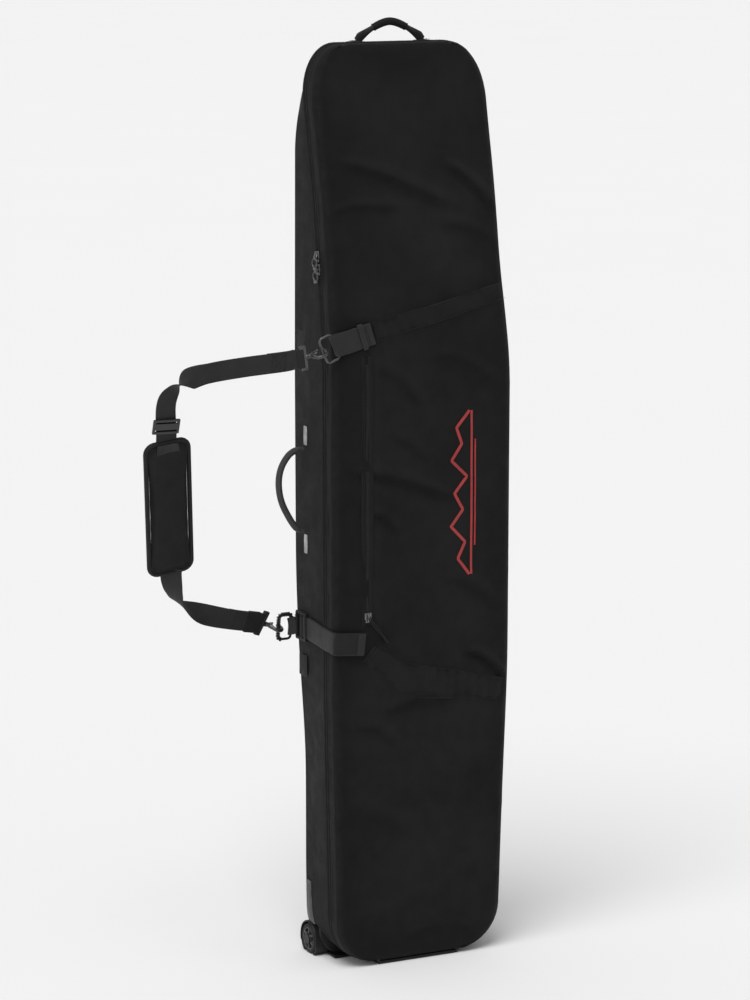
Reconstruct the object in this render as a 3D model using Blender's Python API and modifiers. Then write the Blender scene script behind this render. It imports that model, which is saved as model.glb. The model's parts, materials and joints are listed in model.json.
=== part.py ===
"""Wheeled, padded snowboard travel bag, standing on its wheel end.

Metres, +Z up along the bag, front panel towards -Y, back panel towards +Y, origin at the
middle of the base. Each object is one physical piece and is named for it. The front shell
opens like a lid about a line on the bag's right side.
"""
import math

import bmesh
import bpy
import numpy as np
from mathutils import Matrix, Vector

# Body: outline and depth, as (height, value) tables read with a little smoothing
LENGTH = 1.60
BOTTOM = 0.008
BACK_Y = 0.08
DEPTHS = (
    (0.0, 0.135), (0.11, 0.140), (0.28, 0.146), (0.45, 0.154), (0.58, 0.160), (1.06, 0.160),
    (1.15, 0.152), (1.27, 0.134), (1.37, 0.116), (1.48, 0.090), (1.60, 0.065),
)
HALF_WIDTHS = (
    (0.0, 0.157), (0.12, 0.159), (0.28, 0.163), (0.50, 0.169), (1.05, 0.170), (1.22, 0.164), (1.60, 0.164),
)
BACK_INSETS = (  # how far the back panel's edge stands inside the front panel's
    (0.0, 0.0), (0.14, 0.001), (0.36, 0.010), (0.45, 0.009), (0.60, 0.003), (0.70, 0.0), (1.46, 0.0),
    (1.53, 0.017), (1.60, 0.017),
)
LEANS = ((0.10, 0.007), (0.60, 0.0), (1.05, 0.0), (1.22, -0.005), (1.60, -0.003))  # the stuffed bag's bend
SMOOTHING = 0.04
BASE_X = 0.007  # the middle of the base
TOP_CORNER = (0.062, 0.095)  # width and height of the elliptical top corners
LOW_CORNER = (0.075, 0.075)
CORNER_STEPS = 6
STRAIGHT_HEIGHTS = (
    0.12, 0.20, 0.28, 0.37, 0.45, 0.53, 0.62, 0.71, 0.80, 0.90, 1.00, 1.05, 1.08, 1.12,
    1.16, 1.22, 1.29, 1.36, 1.42,
)
WALL = 0.005
FRONT_GUSSET = 0.034  # from the front panel's edge back to the main zipper
SHOULDER = 0.012  # the stretch of gusset beside the zipper that stays square to it
COLUMNS = 4

# Gaps
GAP = 0.0004
SEAM_GAP = 0.0005  # half the gap between the two shells

# Main zipper and the lid's hinge line
TAPE = (0.0015, 0.0105)  # near and far edge of each tape, from the middle of the zipper
TAPE_THICK = 0.0012
HINGE_LOW, HINGE_HIGH = 0.12, 1.05
SLIDER_SIZE = (0.005, 0.012, 0.018)
SLIDER_HEIGHTS = {"upper": 1.249, "lower": 1.227}
PULLER_SIZE = (0.0018, 0.009, 0.0165)
BINDING = (0.0015, 0.0095)

# Pocket on the front panel
POCKET_X = -0.108
POCKET_LOW, POCKET_HIGH = 0.62, 1.08
POCKET_TAPE_WIDTH = 0.022
POUCH = (-0.095, 0.150, 0.64, 1.00)

# Base, housing and wheels
WHEEL_RADIUS, WHEEL_WIDTH = 0.0265, 0.022
WHEEL_Y = 0.066
WHEEL_FACE = 0.160  # outer face of each wheel from the middle of the base
TREAD = 0.006
WELL_INNER, WELL_OUTER = 0.0295, 0.0325
WELL_BACK, WELL_FLOOR = 0.1305, 0.1335  # the closed end of each wheel's well, from the middle of the base
AXLE_RADIUS, AXLE_CAP = 0.0045, (0.009, 0.0025)
PLATE = 0.0042
OUTSIDE = 0.200  # far enough out to cut right through the bag's side
HOUSING_TOP = 0.136
HOUSING_FRONT = 0.0125
HOUSING_HALF = 0.133
SKID_SIZE = (0.156, 0.0625)

# Handles
TOP_HANDLE_X, TOP_HANDLE_Y = 0.0105, 0.0715
TOP_HANDLE_HALF, TOP_HANDLE_RISE, TOP_HANDLE_RADIUS = 0.064, 0.028, 0.0042
GRIP_THICK = 0.0028
TAB_SIZE = (0.030, 0.018, 0.0026)
HAUL_Y = 0.030
HAUL_ROUTE = ((0.0, 0.9135), (0.010, 0.913), (0.027, 0.9035), (0.041, 0.882), (0.0455, 0.855), (0.040, 0.823),
              (0.023, 0.790), (0.009, 0.7725), (0.0, 0.7695))
HAUL_RADIUS = 0.0052
HAUL_STAND = 0.0072  # the handle's ends from the bag's side
HAUL_ANCHOR_SIZE = (0.0065, 0.014, 0.033)

# Webbing
WEBBING = 0.038
WEBBING_THICK = 0.0024
STRAP_LIFT = 0.0016
LADDER_SIZE = (0.0055, 0.040, 0.050)  # the ladder lock on the bag's side

# Strap rings and the shoulder strap's plane
RING_UPPER = Vector((-0.169, -0.0835, 1.105))
RING_LOWER = Vector((-0.1795, 0.0750, 0.594))
RING_BAR_UPPER = Vector((0.40, 0.0, -0.916)).normalized()
RING_BAR_LOWER = Vector((0.0, 0.12, -0.993)).normalized()
RING_HALF, RING_REACH, RING_WIRE = 0.0225, 0.024, 0.0022
HOOK_WIRE, HOOK_BOW = 0.0022, 0.013
GATE_WIRE = 0.0016
EYE_SIZE = (0.010, 0.0045, 0.046)
EYE_TO_RING = 0.036
UPPER_ROUTE = ((0.0705, 0.0220), (0.090, 0.0255), (0.162, 0.0315), (0.225, 0.0395), (0.264, 0.0500),
               (0.289, 0.0720),
               (0.2960, 0.0970), (0.2862, 0.1608))
LOWER_ROUTE = ((0.2445, 0.4107), (0.2398, 0.4316), (0.2331, 0.4513), (0.2200, 0.4720), (0.1797, 0.4938),
               (0.120, 0.5115), (0.0705, 0.5215))
PAD_TOP, PAD_LOW = (0.2860, 0.1613), (0.2450, 0.4100)
PAD_WIDTH, PAD_THICK = 0.080, 0.014
GLIDE_AT, GLIDE_SIZE = (0.2925, 0.1316), (0.048, 0.026, 0.0045)

# Inner tie-down straps
INNER_HEIGHTS = {"upper": 1.05, "lower": 0.52}
INNER_BUCKLE_SIZE = (0.060, 0.009, 0.046)

COLOURS = {
    "shell_fabric": ((0.012, 0.012, 0.013), 0.85, 0.0),
    "webbing": ((0.022, 0.022, 0.024), 0.75, 0.0),
    "zipper": ((0.018, 0.018, 0.019), 0.60, 0.0),
    "zipper_metal": ((0.06, 0.06, 0.065), 0.35, 0.9),
    "hardware": ((0.05, 0.05, 0.055), 0.30, 0.9),
    "moulded_plastic": ((0.02, 0.02, 0.022), 0.50, 0.0),
    "tyre": ((0.03, 0.03, 0.032), 0.80, 0.0),
    "pad_foam": ((0.015, 0.015, 0.016), 0.90, 0.0),
    "board": ((0.20, 0.20, 0.21), 0.60, 0.0),
}


# ---- scene helpers -------------------------------------------------------------------------

def clear_scene():
    for item in list(bpy.data.objects):
        bpy.data.objects.remove(item, do_unlink=True)


def collection(name):
    made = bpy.data.collections.new(name)
    bpy.context.scene.collection.children.link(made)
    return made


def material(name):
    colour, roughness, metallic = COLOURS[name]
    made = bpy.data.materials.get(name) or bpy.data.materials.new(name)
    made.use_nodes = True
    shader = made.node_tree.nodes["Principled BSDF"]
    shader.inputs["Base Color"].default_value = (*colour, 1.0)
    shader.inputs["Roughness"].default_value = roughness
    shader.inputs["Metallic"].default_value = metallic
    return made


def add(name, data, finish, place=None):
    """Links a mesh or curve as the piece `name`."""
    piece = bpy.data.objects.new(name, data)
    PARTS.objects.link(piece)
    data.materials.append(material(finish))
    if place is not None:
        piece.matrix_world = place
    return piece


def add_cutter(name, bm, place=None):
    mesh = bpy.data.meshes.new(name)
    bm.to_mesh(mesh)
    bm.free()
    cutter = bpy.data.objects.new(name, mesh)
    CUTTERS.objects.link(cutter)
    cutter.hide_render = True
    cutter.display_type = "WIRE"
    if place is not None:
        cutter.matrix_world = place
    return cutter


def add_mesh(name, bm, finish, place=None):
    mesh = bpy.data.meshes.new(name)
    bm.to_mesh(mesh)
    bm.free()
    return add(name, mesh, finish, place)


def frame_matrix(origin, x_axis, y_axis, z_axis):
    """The matrix that carries a piece drawn round the origin onto three given directions."""
    turned_to = Matrix((x_axis, y_axis, z_axis)).transposed().to_4x4()
    return Matrix.Translation(origin) @ turned_to


def bevel(piece, width, segments=2):
    made = piece.modifiers.new("rounding", "BEVEL")
    made.width = width
    made.segments = segments
    made.limit_method = "ANGLE"


def solidify(piece, thickness, offset):
    made = piece.modifiers.new("thickness", "SOLIDIFY")
    made.thickness = thickness
    made.offset = offset
    made.use_even_offset = True


def boolean(piece, other, operation):
    made = piece.modifiers.new(other.name, "BOOLEAN")
    made.operation = operation
    made.object = other


def box_mesh(size):
    bm = bmesh.new()
    bmesh.ops.create_cube(bm, size=1.0)
    bmesh.ops.scale(bm, verts=bm.verts, vec=size)
    return bm


def box(name, size, centre, finish, rounding=0.0, place=None):
    made = add_mesh(name, box_mesh(size), finish, place if place is not None else Matrix.Translation(centre))
    if rounding:
        bevel(made, rounding)
    return made


def cylinder_mesh(radius, length, sides=32):
    """A cylinder along X, about the origin."""
    bm = bmesh.new()
    bmesh.ops.create_cone(bm, cap_ends=True, segments=sides, radius1=radius, radius2=radius, depth=length)
    bmesh.ops.rotate(bm, verts=bm.verts, matrix=Matrix.Rotation(math.pi / 2, 3, "Y"))
    return bm


def tube(name, points, radius, finish, cyclic=False, detail=2):
    """A round wire or tube along the points, with filled caps."""
    curve = bpy.data.curves.new(name, "CURVE")
    curve.dimensions = "3D"
    curve.bevel_depth = radius
    curve.bevel_resolution = detail
    curve.use_fill_caps = True
    spline = curve.splines.new("POLY")
    spline.points.add(len(points) - 1)
    for point, at in zip(spline.points, points):
        point.co = (*at, 1.0)
    spline.use_cyclic_u = cyclic
    return add(name, curve, finish)


def turned(name, profile, centre, finish, sides=32):
    """A closed profile of (radius, distance along +X) turned about the X axis."""
    mesh = bpy.data.meshes.new(name)
    edges = [(k, (k + 1) % len(profile)) for k in range(len(profile))]
    mesh.from_pydata([(radius, 0.0, along) for radius, along in profile], edges, [])
    piece = add(name, mesh, finish, Matrix.Translation(centre) @ Matrix.Rotation(math.pi / 2, 4, "Y"))
    screw = piece.modifiers.new("turning", "SCREW")
    screw.axis = "Z"
    screw.steps = screw.render_steps = sides
    screw.use_merge_vertices = True
    screw.merge_threshold = 0.00001
    return piece


def smooth(points, per_span):
    """Points along a smooth curve through the given points."""
    fixed = [Vector(p) for p in points]
    padded = [fixed[0] * 2 - fixed[1], *fixed, fixed[-1] * 2 - fixed[-2]]
    along = []
    for p0, p1, p2, p3 in zip(padded, padded[1:], padded[2:], padded[3:]):
        for k in range(per_span):
            t = k / per_span
            along.append(0.5 * (2 * p1 + (p2 - p0) * t + (2 * p0 - 5 * p1 + 4 * p2 - p3) * t ** 2
                                + (3 * p1 - p0 - 3 * p2 + p3) * t ** 3))
    return [*along, fixed[-1]]


def band(name, edges, thickness, finish, offset=0.0):
    """A flat band between two edges, given as pairs of points along it."""
    bm = bmesh.new()
    bmesh.ops.create_grid(bm, x_segments=1, y_segments=len(edges) - 1, size=1.0)
    for vert in bm.verts:
        row = round((vert.co.y + 1) / 2 * (len(edges) - 1))
        vert.co = edges[row][0 if vert.co.x < 0 else 1]
    piece = add_mesh(name, bm, finish)
    solidify(piece, thickness, offset)
    return piece


# ---- the bag's form ------------------------------------------------------------------------

def read(table, height):
    heights, values = zip(*table)
    around = [height + SMOOTHING * k / 2 for k in (-2, -1, 0, 1, 2)]
    return float(np.mean(np.interp(around, heights, values)))


def front_y(height):
    return BACK_Y - read(DEPTHS, height)


def split_y(height):
    return front_y(height) + FRONT_GUSSET


def lean(height):
    return read(LEANS, height)


def corner_loss(height):
    """How far a rounded corner takes the side in at this height."""
    for (width, tall), inside in ((TOP_CORNER, height - LENGTH + TOP_CORNER[1]),
                                  (LOW_CORNER, BOTTOM + LOW_CORNER[1] - height)):
        if inside > 0:
            return width * (1 - math.sqrt(max(0.0, 1 - (inside / tall) ** 2)))
    return 0.0


def half_width(height):
    return read(HALF_WIDTHS, height) - corner_loss(height)


def side_x(height, side):
    """The outline's x on the left (-1) or right (+1)."""
    return lean(height) + side * half_width(height)


def row_heights():
    quarter = [math.pi / 2 * k / CORNER_STEPS for k in range(CORNER_STEPS + 1)]
    low = [BOTTOM + LOW_CORNER[1] * (1 - math.cos(a)) for a in quarter]
    high = [LENGTH - TOP_CORNER[1] * (1 - math.cos(a)) for a in reversed(quarter)]
    return [*low, *STRAIGHT_HEIGHTS, *high]


ROWS = row_heights()


def faceted(function, height):
    """The value of a function of height on the shells' facets, which are straight between rows."""
    return float(np.interp(height, ROWS, [function(row) for row in ROWS]))


def shell(name, panel_y, rim_y, inset):
    """A panel with its gusset, open at the rim, with the wall inside the outline."""
    bm = bmesh.new()
    bmesh.ops.create_grid(bm, x_segments=COLUMNS, y_segments=len(ROWS) - 1, size=1.0)
    for vert in bm.verts:
        height = ROWS[round((vert.co.y + 1) / 2 * (len(ROWS) - 1))]
        vert.co = (lean(height) + vert.co.x * half_width(height), panel_y(height), height)
    panel, open_edges = list(bm.verts), [e for e in bm.edges if e.is_boundary]
    away = math.copysign(SHOULDER, panel_y(0.8) - rim_y(0.8))
    for ring_y in (lambda z: rim_y(z) + away, rim_y):
        ring = bmesh.ops.extrude_edge_only(bm, edges=open_edges)["geom"]
        open_edges = [item for item in ring if isinstance(item, bmesh.types.BMEdge)]
        for vert in ring:
            if isinstance(vert, bmesh.types.BMVert):
                vert.co.y = ring_y(vert.co.z)
    for vert in panel:
        middle = lean(vert.co.z)
        vert.co.x = middle + (vert.co.x - middle) * (1 - inset(vert.co.z) / half_width(vert.co.z))
    bmesh.ops.recalc_face_normals(bm, faces=bm.faces)
    middle = min(bm.faces, key=lambda f: (f.calc_center_median() - Vector((0, panel_y(0.8), 0.8))).length)
    outward = panel_y(0.8) - rim_y(0.8)
    if middle.normal.y * outward < 0:
        bmesh.ops.reverse_faces(bm, faces=bm.faces)
    piece = add_mesh(name, bm, "shell_fabric")
    solidify(piece, WALL, -1.0)
    return piece


def zip_route():
    """(height, side) along the main zipper: up the right side from the hinge line's top, over the
    top, down the left side, under the base and up to the hinge line's foot."""
    right_top = [(z, 1) for z in ROWS if z >= HINGE_HIGH]
    left = [(z, -1) for z in reversed(ROWS)]
    right_low = [(z, 1) for z in ROWS if z <= HINGE_LOW]
    return [*right_top, *left, *right_low]


def outline_band(name, route, near, far, thickness, finish):
    """A tape lying on the gusset along a stretch of the outline."""
    flat = [Vector((side_x(z, side), z)) for z, side in route]
    edges = []
    for k, (height, _) in enumerate(route):
        along = (flat[min(k + 1, len(flat) - 1)] - flat[max(k - 1, 0)]).normalized()
        outward = Vector((-along.y, along.x))
        if outward.dot(flat[k] - Vector((0, LENGTH / 2))) < 0:
            outward = -outward
        at = flat[k] + outward * (GAP + thickness / 2)
        edges.append([Vector((at.x, split_y(height) + y, at.y)) for y in (near, far)])
    return band(name, edges, thickness, finish)


# ---- shells and what is sewn to them -------------------------------------------------------

def make_shells():
    shell("front_shell", front_y, lambda z: split_y(z) - SEAM_GAP, lambda z: 0.0)
    tray = shell("back_shell", lambda z: BACK_Y, lambda z: split_y(z) + SEAM_GAP,
                 lambda z: read(BACK_INSETS, z))
    for side, label in ((-1, "left"), (1, "right")):
        well = well_cutter(f"cut_well_{label}", side, WELL_OUTER + 2 * GAP, WELL_BACK - 2 * GAP, OUTSIDE)
        boolean(tray, well, "DIFFERENCE")


def make_main_zipper():
    route = zip_route()
    outline_band("zip_tape_lid", route, -TAPE[0], -TAPE[1], TAPE_THICK, "zipper")
    outline_band("zip_tape_tray", route, TAPE[0], TAPE[1], TAPE_THICK, "zipper")
    hinge = [(z, 1) for z in ROWS if HINGE_LOW < z < HINGE_HIGH]
    outline_band("hinge_binding", hinge, BINDING[0], BINDING[1], TAPE_THICK, "webbing")


def zip_line(height):
    """The middle of the zipper on the left side's surface."""
    return Vector((side_x(height, -1), split_y(height), height))


def slider_frame(height):
    """Outward, across and along directions of the zipper on the left side."""
    along = (zip_line(height + 0.05) - zip_line(height - 0.05)).normalized()
    outward = Vector((0, 1, 0)).cross(along).normalized() * -1
    if outward.x > 0:
        outward = -outward
    return outward, along.cross(outward), along


def make_sliders():
    for label, height in SLIDER_HEIGHTS.items():
        outward, across, along = slider_frame(height)
        middle = zip_line(height) + outward * (TAPE_THICK + 3 * GAP + SLIDER_SIZE[0] / 2)
        place = frame_matrix(middle, outward, across, along)
        box(f"main_slider_{label}", SLIDER_SIZE, None, "zipper_metal", 0.0012, place)
        hang = middle + outward * (SLIDER_SIZE[0] / 2 + GAP + PULLER_SIZE[0] / 2) - along * PULLER_SIZE[2] / 2
        place = frame_matrix(hang, outward, across, along)
        box(f"main_puller_{label}", PULLER_SIZE, None, "zipper_metal", 0.0007, place)


def make_pocket():
    rows = [z for z in ROWS if POCKET_LOW <= z <= POCKET_HIGH]
    lift = GAP + TAPE_THICK / 2
    half = POCKET_TAPE_WIDTH / 2
    edges = [[Vector((POCKET_X + x, front_y(z) - lift, z)) for x in (-half, half)] for z in rows]
    band("pocket_zip_tape", edges, TAPE_THICK, "zipper")
    low_x, high_x, low_z, high_z = POUCH
    box("pocket_pouch", (high_x - low_x, 0.002, high_z - low_z),
        ((low_x + high_x) / 2, front_y(0.8) + WALL + GAP + 0.001, (low_z + high_z) / 2), "shell_fabric")
    face = front_y(0.70) - 2 * GAP - TAPE_THICK
    thick, wide, tall = SLIDER_SIZE
    centre = Vector((POCKET_X, face - thick / 2, POCKET_LOW + 0.012))
    box("pocket_slider", (wide, thick, tall), centre, "zipper_metal", 0.0012)
    box("pocket_puller", (0.010, PULLER_SIZE[0], 0.040),
        centre + Vector((0, -thick / 2 - GAP - PULLER_SIZE[0] / 2, -0.020)), "zipper_metal", 0.0007)


def front_band(name, route, widths, lift, finish):
    """A band across the front panel through (x, height) points, a little off the panel."""
    edges = []
    for k, ((x, z), width) in enumerate(zip(route, widths)):
        near, far = Vector(route[max(k - 1, 0)]), Vector(route[min(k + 1, len(route) - 1)])
        along = (far - near).normalized()
        across = Vector((-along.y, along.x)) * width / 2
        pair = []
        for side in (-1, 1):
            at = Vector((x, z)) + across * side
            pair.append(Vector((at.x, faceted(front_y, at.y) - lift - WEBBING_THICK / 2, at.y)))
        edges.append(pair)
    return band(name, edges, WEBBING_THICK, finish)


def make_compression_straps():
    front_band("compression_strap_upper", ((-0.1655, 1.1035), (-0.138, 1.110), (-0.097, 1.121)),
               (WEBBING,) * 3, STRAP_LIFT, "webbing")
    front_band("strap_sleeve_upper",
               ((-0.091, 1.1225), (-0.040, 1.135), (0.023, 1.147), (0.082, 1.162), (0.163, 1.181)),
               (0.036, 0.034, 0.032, 0.031, 0.030), STRAP_LIFT, "shell_fabric")
    front_band("strap_sleeve_lower", ((-0.103, 0.572), (-0.040, 0.519), (0.060, 0.498), (0.162, 0.478)),
               (0.044, 0.076, 0.058, 0.042), STRAP_LIFT, "shell_fabric")
    front_band("strap_keeper_upper", ((-0.122, 1.1144), (-0.114, 1.1165)), (WEBBING + 0.004,) * 2,
               STRAP_LIFT + WEBBING_THICK + 2 * GAP, "webbing")
    # The lower strap runs from its ladder lock across the gusset and round the front edge.
    side = side_x(0.59, -1) - TAPE_THICK - 2 * GAP - WEBBING_THICK / 2
    face = front_y(0.60) - STRAP_LIFT - WEBBING_THICK / 2
    route = [(side, 0.020, 0.599), (side, -0.030, 0.595), (side, face + 0.006, 0.5905),
             (side + 0.0018, face + 0.0018, 0.590),
             (side + 0.006, face, 0.5895), (-0.140, face, 0.588), (-0.116, face, 0.586)]
    half = WEBBING / 2
    edges = [[Vector((x, y, z - half)), Vector((x, y, z + half))] for x, y, z in route]
    band("compression_strap_lower", edges, WEBBING_THICK, "webbing")
    box("ladder_lock_lower", LADDER_SIZE, (side - 0.0008, 0.0425, 0.600), "moulded_plastic", 0.0015)


def make_anchor_tabs():
    """Webbing tabs on the tray, behind the places where the compression straps clip on."""
    for label, height in (("upper", 1.098), ("lower", 0.530)):
        x = side_x(height, -1) - GAP * 2 - 0.001
        box(f"strap_anchor_{label}", (0.002, 0.030, 0.038), (x, 0.045, height), "webbing", 0.0005)


def make_inside():
    box("back_stiffener", (0.250, 0.003, 1.400), (0.004, BACK_Y - WALL - 0.0025, 0.800), "board", 0.0005)
    for label, height in INNER_HEIGHTS.items():
        box(f"inner_strap_{label}", (0.300, 0.002, WEBBING), (0.002, 0.0675, height), "webbing")
        box(f"inner_buckle_{label}", INNER_BUCKLE_SIZE, (0.002, 0.0613, height), "moulded_plastic", 0.002)


# ---- base, housing, wheels -----------------------------------------------------------------

def well_cutter(name, side, radius, near, far):
    """A cylinder on the wheel's axis, between two distances from the middle of the base."""
    middle = Vector((BASE_X + side * (near + far) / 2, WHEEL_Y, WHEEL_RADIUS))
    return add_cutter(name, cylinder_mesh(radius, far - near), Matrix.Translation(middle))


def make_base():
    """The front skid and the moulded housing round the back edge, with a well for each wheel."""
    skid_y = HOUSING_FRONT - GAP - SKID_SIZE[1] / 2
    thick = BOTTOM - TAPE_THICK - 3 * GAP
    box("base_skid", (*SKID_SIZE, thick), (BASE_X, skid_y, thick / 2), "moulded_plastic", 0.0015)
    back = BACK_Y + GAP
    low = 0.0015
    foot = box_mesh((HOUSING_HALF * 2, back + PLATE - HOUSING_FRONT, PLATE - GAP))
    foot_at = Vector((BASE_X, (HOUSING_FRONT + back + PLATE) / 2, low + (PLATE - GAP) / 2))
    housing = add_mesh("wheel_housing", foot, "moulded_plastic", Matrix.Translation(foot_at))
    plate = add_cutter("join_back_plate", box_mesh((HOUSING_HALF * 2, PLATE, HOUSING_TOP - low)),
                       Matrix.Translation((BASE_X, back + PLATE / 2, (HOUSING_TOP + low) / 2)))
    boolean(housing, plate, "UNION")
    for side, label in ((-1, "left"), (1, "right")):
        cup = well_cutter(f"join_well_{label}", side, WELL_OUTER, WELL_BACK, WHEEL_FACE - 0.0015)
        boolean(housing, cup, "UNION")
        hollow = well_cutter(f"cut_hollow_{label}", side, WELL_INNER, WELL_FLOOR, OUTSIDE)
        boolean(housing, hollow, "DIFFERENCE")
        bore = well_cutter(f"cut_bore_{label}", side, AXLE_RADIUS + GAP, 0.120, OUTSIDE)
        boolean(housing, bore, "DIFFERENCE")
    under = add_cutter("cut_floor", box_mesh((0.40, 0.30, 0.10)), Matrix.Translation((0, 0.05, low - 0.05)))
    boolean(housing, under, "DIFFERENCE")


def make_wheels():
    for side, label in ((-1, "left"), (1, "right")):
        outer = BASE_X + side * WHEEL_FACE
        centre = Vector((outer - side * WHEEL_WIDTH / 2, WHEEL_Y, WHEEL_RADIUS))
        half = WHEEL_WIDTH / 2
        rim, bore = WHEEL_RADIUS - TREAD, AXLE_RADIUS + 0.0003
        turned(f"wheel_tyre_{label}",
               ((rim, half - 0.001), (WHEEL_RADIUS - 0.003, half), (WHEEL_RADIUS, half - 0.003),
                (WHEEL_RADIUS, 0.003 - half), (WHEEL_RADIUS - 0.003, -half), (rim, 0.001 - half)),
               centre, "tyre")
        turned(f"wheel_hub_{label}",
               ((bore, half - 0.001), (rim - GAP, half - 0.001), (rim - GAP, 0.001 - half),
                (bore, 0.001 - half)),
               centre, "moulded_plastic")
        make_axle(label, side, outer)


def make_axle(label, side, outer):
    """A stub axle from the well's closed end out through the hub, with a cap outside."""
    cap_radius, cap_thick = AXLE_CAP
    start = WHEEL_FACE - WELL_BACK - GAP
    profile = ((0.0, cap_thick), (cap_radius, cap_thick), (cap_radius, 0.0003), (AXLE_RADIUS, 0.0003),
               (AXLE_RADIUS, -start), (0.0, -start))
    if side < 0:
        profile = tuple((radius, -along) for radius, along in reversed(profile))
    turned(f"axle_{label}", profile, Vector((outer, WHEEL_Y, WHEEL_RADIUS)), "hardware", 24)


# ---- handles -------------------------------------------------------------------------------

def arch(share):
    """A point of the top handle's arch, from its left foot (0) to its right foot (1)."""
    angle = math.pi * (1 - share)
    foot = LENGTH + TAB_SIZE[2] + GAP + TOP_HANDLE_RADIUS + GAP
    reach = math.copysign(abs(math.cos(angle)) ** 0.8, math.cos(angle))
    return Vector((TOP_HANDLE_X + TOP_HANDLE_HALF * reach, TOP_HANDLE_Y,
                   foot + TOP_HANDLE_RISE * math.sin(angle) ** 0.8))


def make_top_handle():
    tube("top_handle", [arch(k / 28) for k in range(29)], TOP_HANDLE_RADIUS, "webbing")
    for side, label in ((-1, "left"), (1, "right")):
        centre = (TOP_HANDLE_X + side * TOP_HANDLE_HALF, TOP_HANDLE_Y, LENGTH + GAP + TAB_SIZE[2] / 2)
        box(f"top_handle_tab_{label}", TAB_SIZE, centre, "webbing", 0.0008)
    points = [arch(0.28 + 0.44 * k / 12) for k in range(13)]
    sides = 12
    bm = bmesh.new()
    bmesh.ops.create_grid(bm, x_segments=sides, y_segments=len(points) - 1, size=1.0)
    for vert in bm.verts:
        k = round((vert.co.y + 1) / 2 * (len(points) - 1))
        along = (points[min(k + 1, len(points) - 1)] - points[max(k - 1, 0)]).normalized()
        turn = math.pi * (vert.co.x + 1)
        outward = Vector((0, 1, 0)) * math.cos(turn) + along.cross(Vector((0, 1, 0))) * math.sin(turn)
        vert.co = points[k] + outward * (TOP_HANDLE_RADIUS + GAP)
    bmesh.ops.remove_doubles(bm, verts=bm.verts, dist=0.00001)
    grip = add_mesh("top_handle_grip", bm, "pad_foam")
    solidify(grip, GRIP_THICK, 1.0)


def make_haul_handle():
    wall = side_x(0.80, -1)
    points = [(wall - HAUL_STAND - out, HAUL_Y, z) for out, z in HAUL_ROUTE]
    tube("haul_handle", smooth(points, 4), HAUL_RADIUS, "webbing")
    thick, wide, tall = HAUL_ANCHOR_SIZE
    for label, height in (("upper", HAUL_ROUTE[0][1] + HAUL_RADIUS + tall / 2 + 0.001),
                          ("lower", HAUL_ROUTE[-1][1] - HAUL_RADIUS - tall / 2 - 0.001)):
        middle = (side_x(height, -1) - GAP - thick / 2, HAUL_Y, height)
        box(f"haul_anchor_{label}", (thick, wide, tall), middle, "hardware", 0.0015)


# ---- rings, hooks and the shoulder strap ---------------------------------------------------

def strap_plane():
    """Outward, downward and facing directions of the shoulder strap's plane."""
    down = (RING_LOWER - RING_UPPER).normalized()
    outward = (Vector((-1, 0, 0)) - down * down.dot(Vector((-1, 0, 0)))).normalized()
    facing = outward.cross(down)
    return outward, down, facing if facing.y < 0 else -facing


OUTWARD, DOWN, FACING = strap_plane()


def in_plane(out, down):
    return RING_UPPER + OUTWARD * out + DOWN * down


def ring_direction(bar):
    """The way a ring reaches from its bar, square to it and away from the bag."""
    away = Vector((-1, 0, 0))
    return (away - bar * away.dot(bar)).normalized()


def make_ring(name, centre, bar):
    """A rectangular wire ring with rounded corners; its bar lies at the centre given."""
    away = ring_direction(bar)
    corner = 0.006
    points = []
    for (along, out), start in (((RING_HALF, RING_REACH), 0), ((-RING_HALF, RING_REACH), 90),
                                ((-RING_HALF, 0), 180), ((RING_HALF, 0), 270)):
        middle_along = along - math.copysign(corner, along)
        middle_out = out - corner if out > 0 else corner
        for k in range(4):
            angle = math.radians(start + 30 * k)
            points.append(centre + bar * (middle_along + corner * math.cos(angle))
                          + away * (middle_out + corner * math.sin(angle)))
    tube(name, points, RING_WIRE, "hardware", cyclic=True, detail=2)


def hook_frame(ring_centre, bar, eye):
    """Origin and directions of a hook: along it from the eye to the ring, facing, and across."""
    target = ring_centre + ring_direction(bar) * RING_REACH
    along = (target - eye).normalized()
    facing = (FACING - along * along.dot(FACING)).normalized()
    return target - along * EYE_TO_RING, along, facing, along.cross(facing)


def make_hook(label, ring_centre, bar, eye):
    origin, along, facing, across = hook_frame(ring_centre, bar, eye)
    bow_at = EYE_TO_RING - (HOOK_BOW - HOOK_WIRE - RING_WIRE - 0.0006)
    shank = EYE_SIZE[0] / 2 + 0.0062

    def place(forward, side):
        return origin + along * forward + facing * side

    bow = [(bow_at + HOOK_BOW * math.cos(math.radians(a)), HOOK_BOW * math.sin(math.radians(a)))
           for a in range(110, -56, -15)]
    route = smooth([(shank, 0.0), (shank + 0.004, 0.0005), (shank + 0.0075, 0.0065), *bow], 2)
    tube(f"hook_{label}", [place(*point) for point in route], HOOK_WIRE, "hardware")
    gate_tip = (bow_at + HOOK_BOW * math.cos(math.radians(-80)), HOOK_BOW * math.sin(math.radians(-80)))
    pivot = (shank + 0.0045, -0.0052)
    tube(f"hook_gate_{label}", [place(*pivot), place(*gate_tip)], GATE_WIRE, "hardware")
    upright = frame_matrix(origin, along, facing, across)
    plate = box(f"hook_eye_{label}", EYE_SIZE, None, "hardware", 0.0012, upright)
    barrel = add_cutter(f"join_barrel_{label}", cylinder_mesh(0.0040, 0.009, 20),
                        frame_matrix(origin + along * (EYE_SIZE[0] / 2 + 0.0012), along, facing, across))
    boolean(plate, barrel, "UNION")


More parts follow.
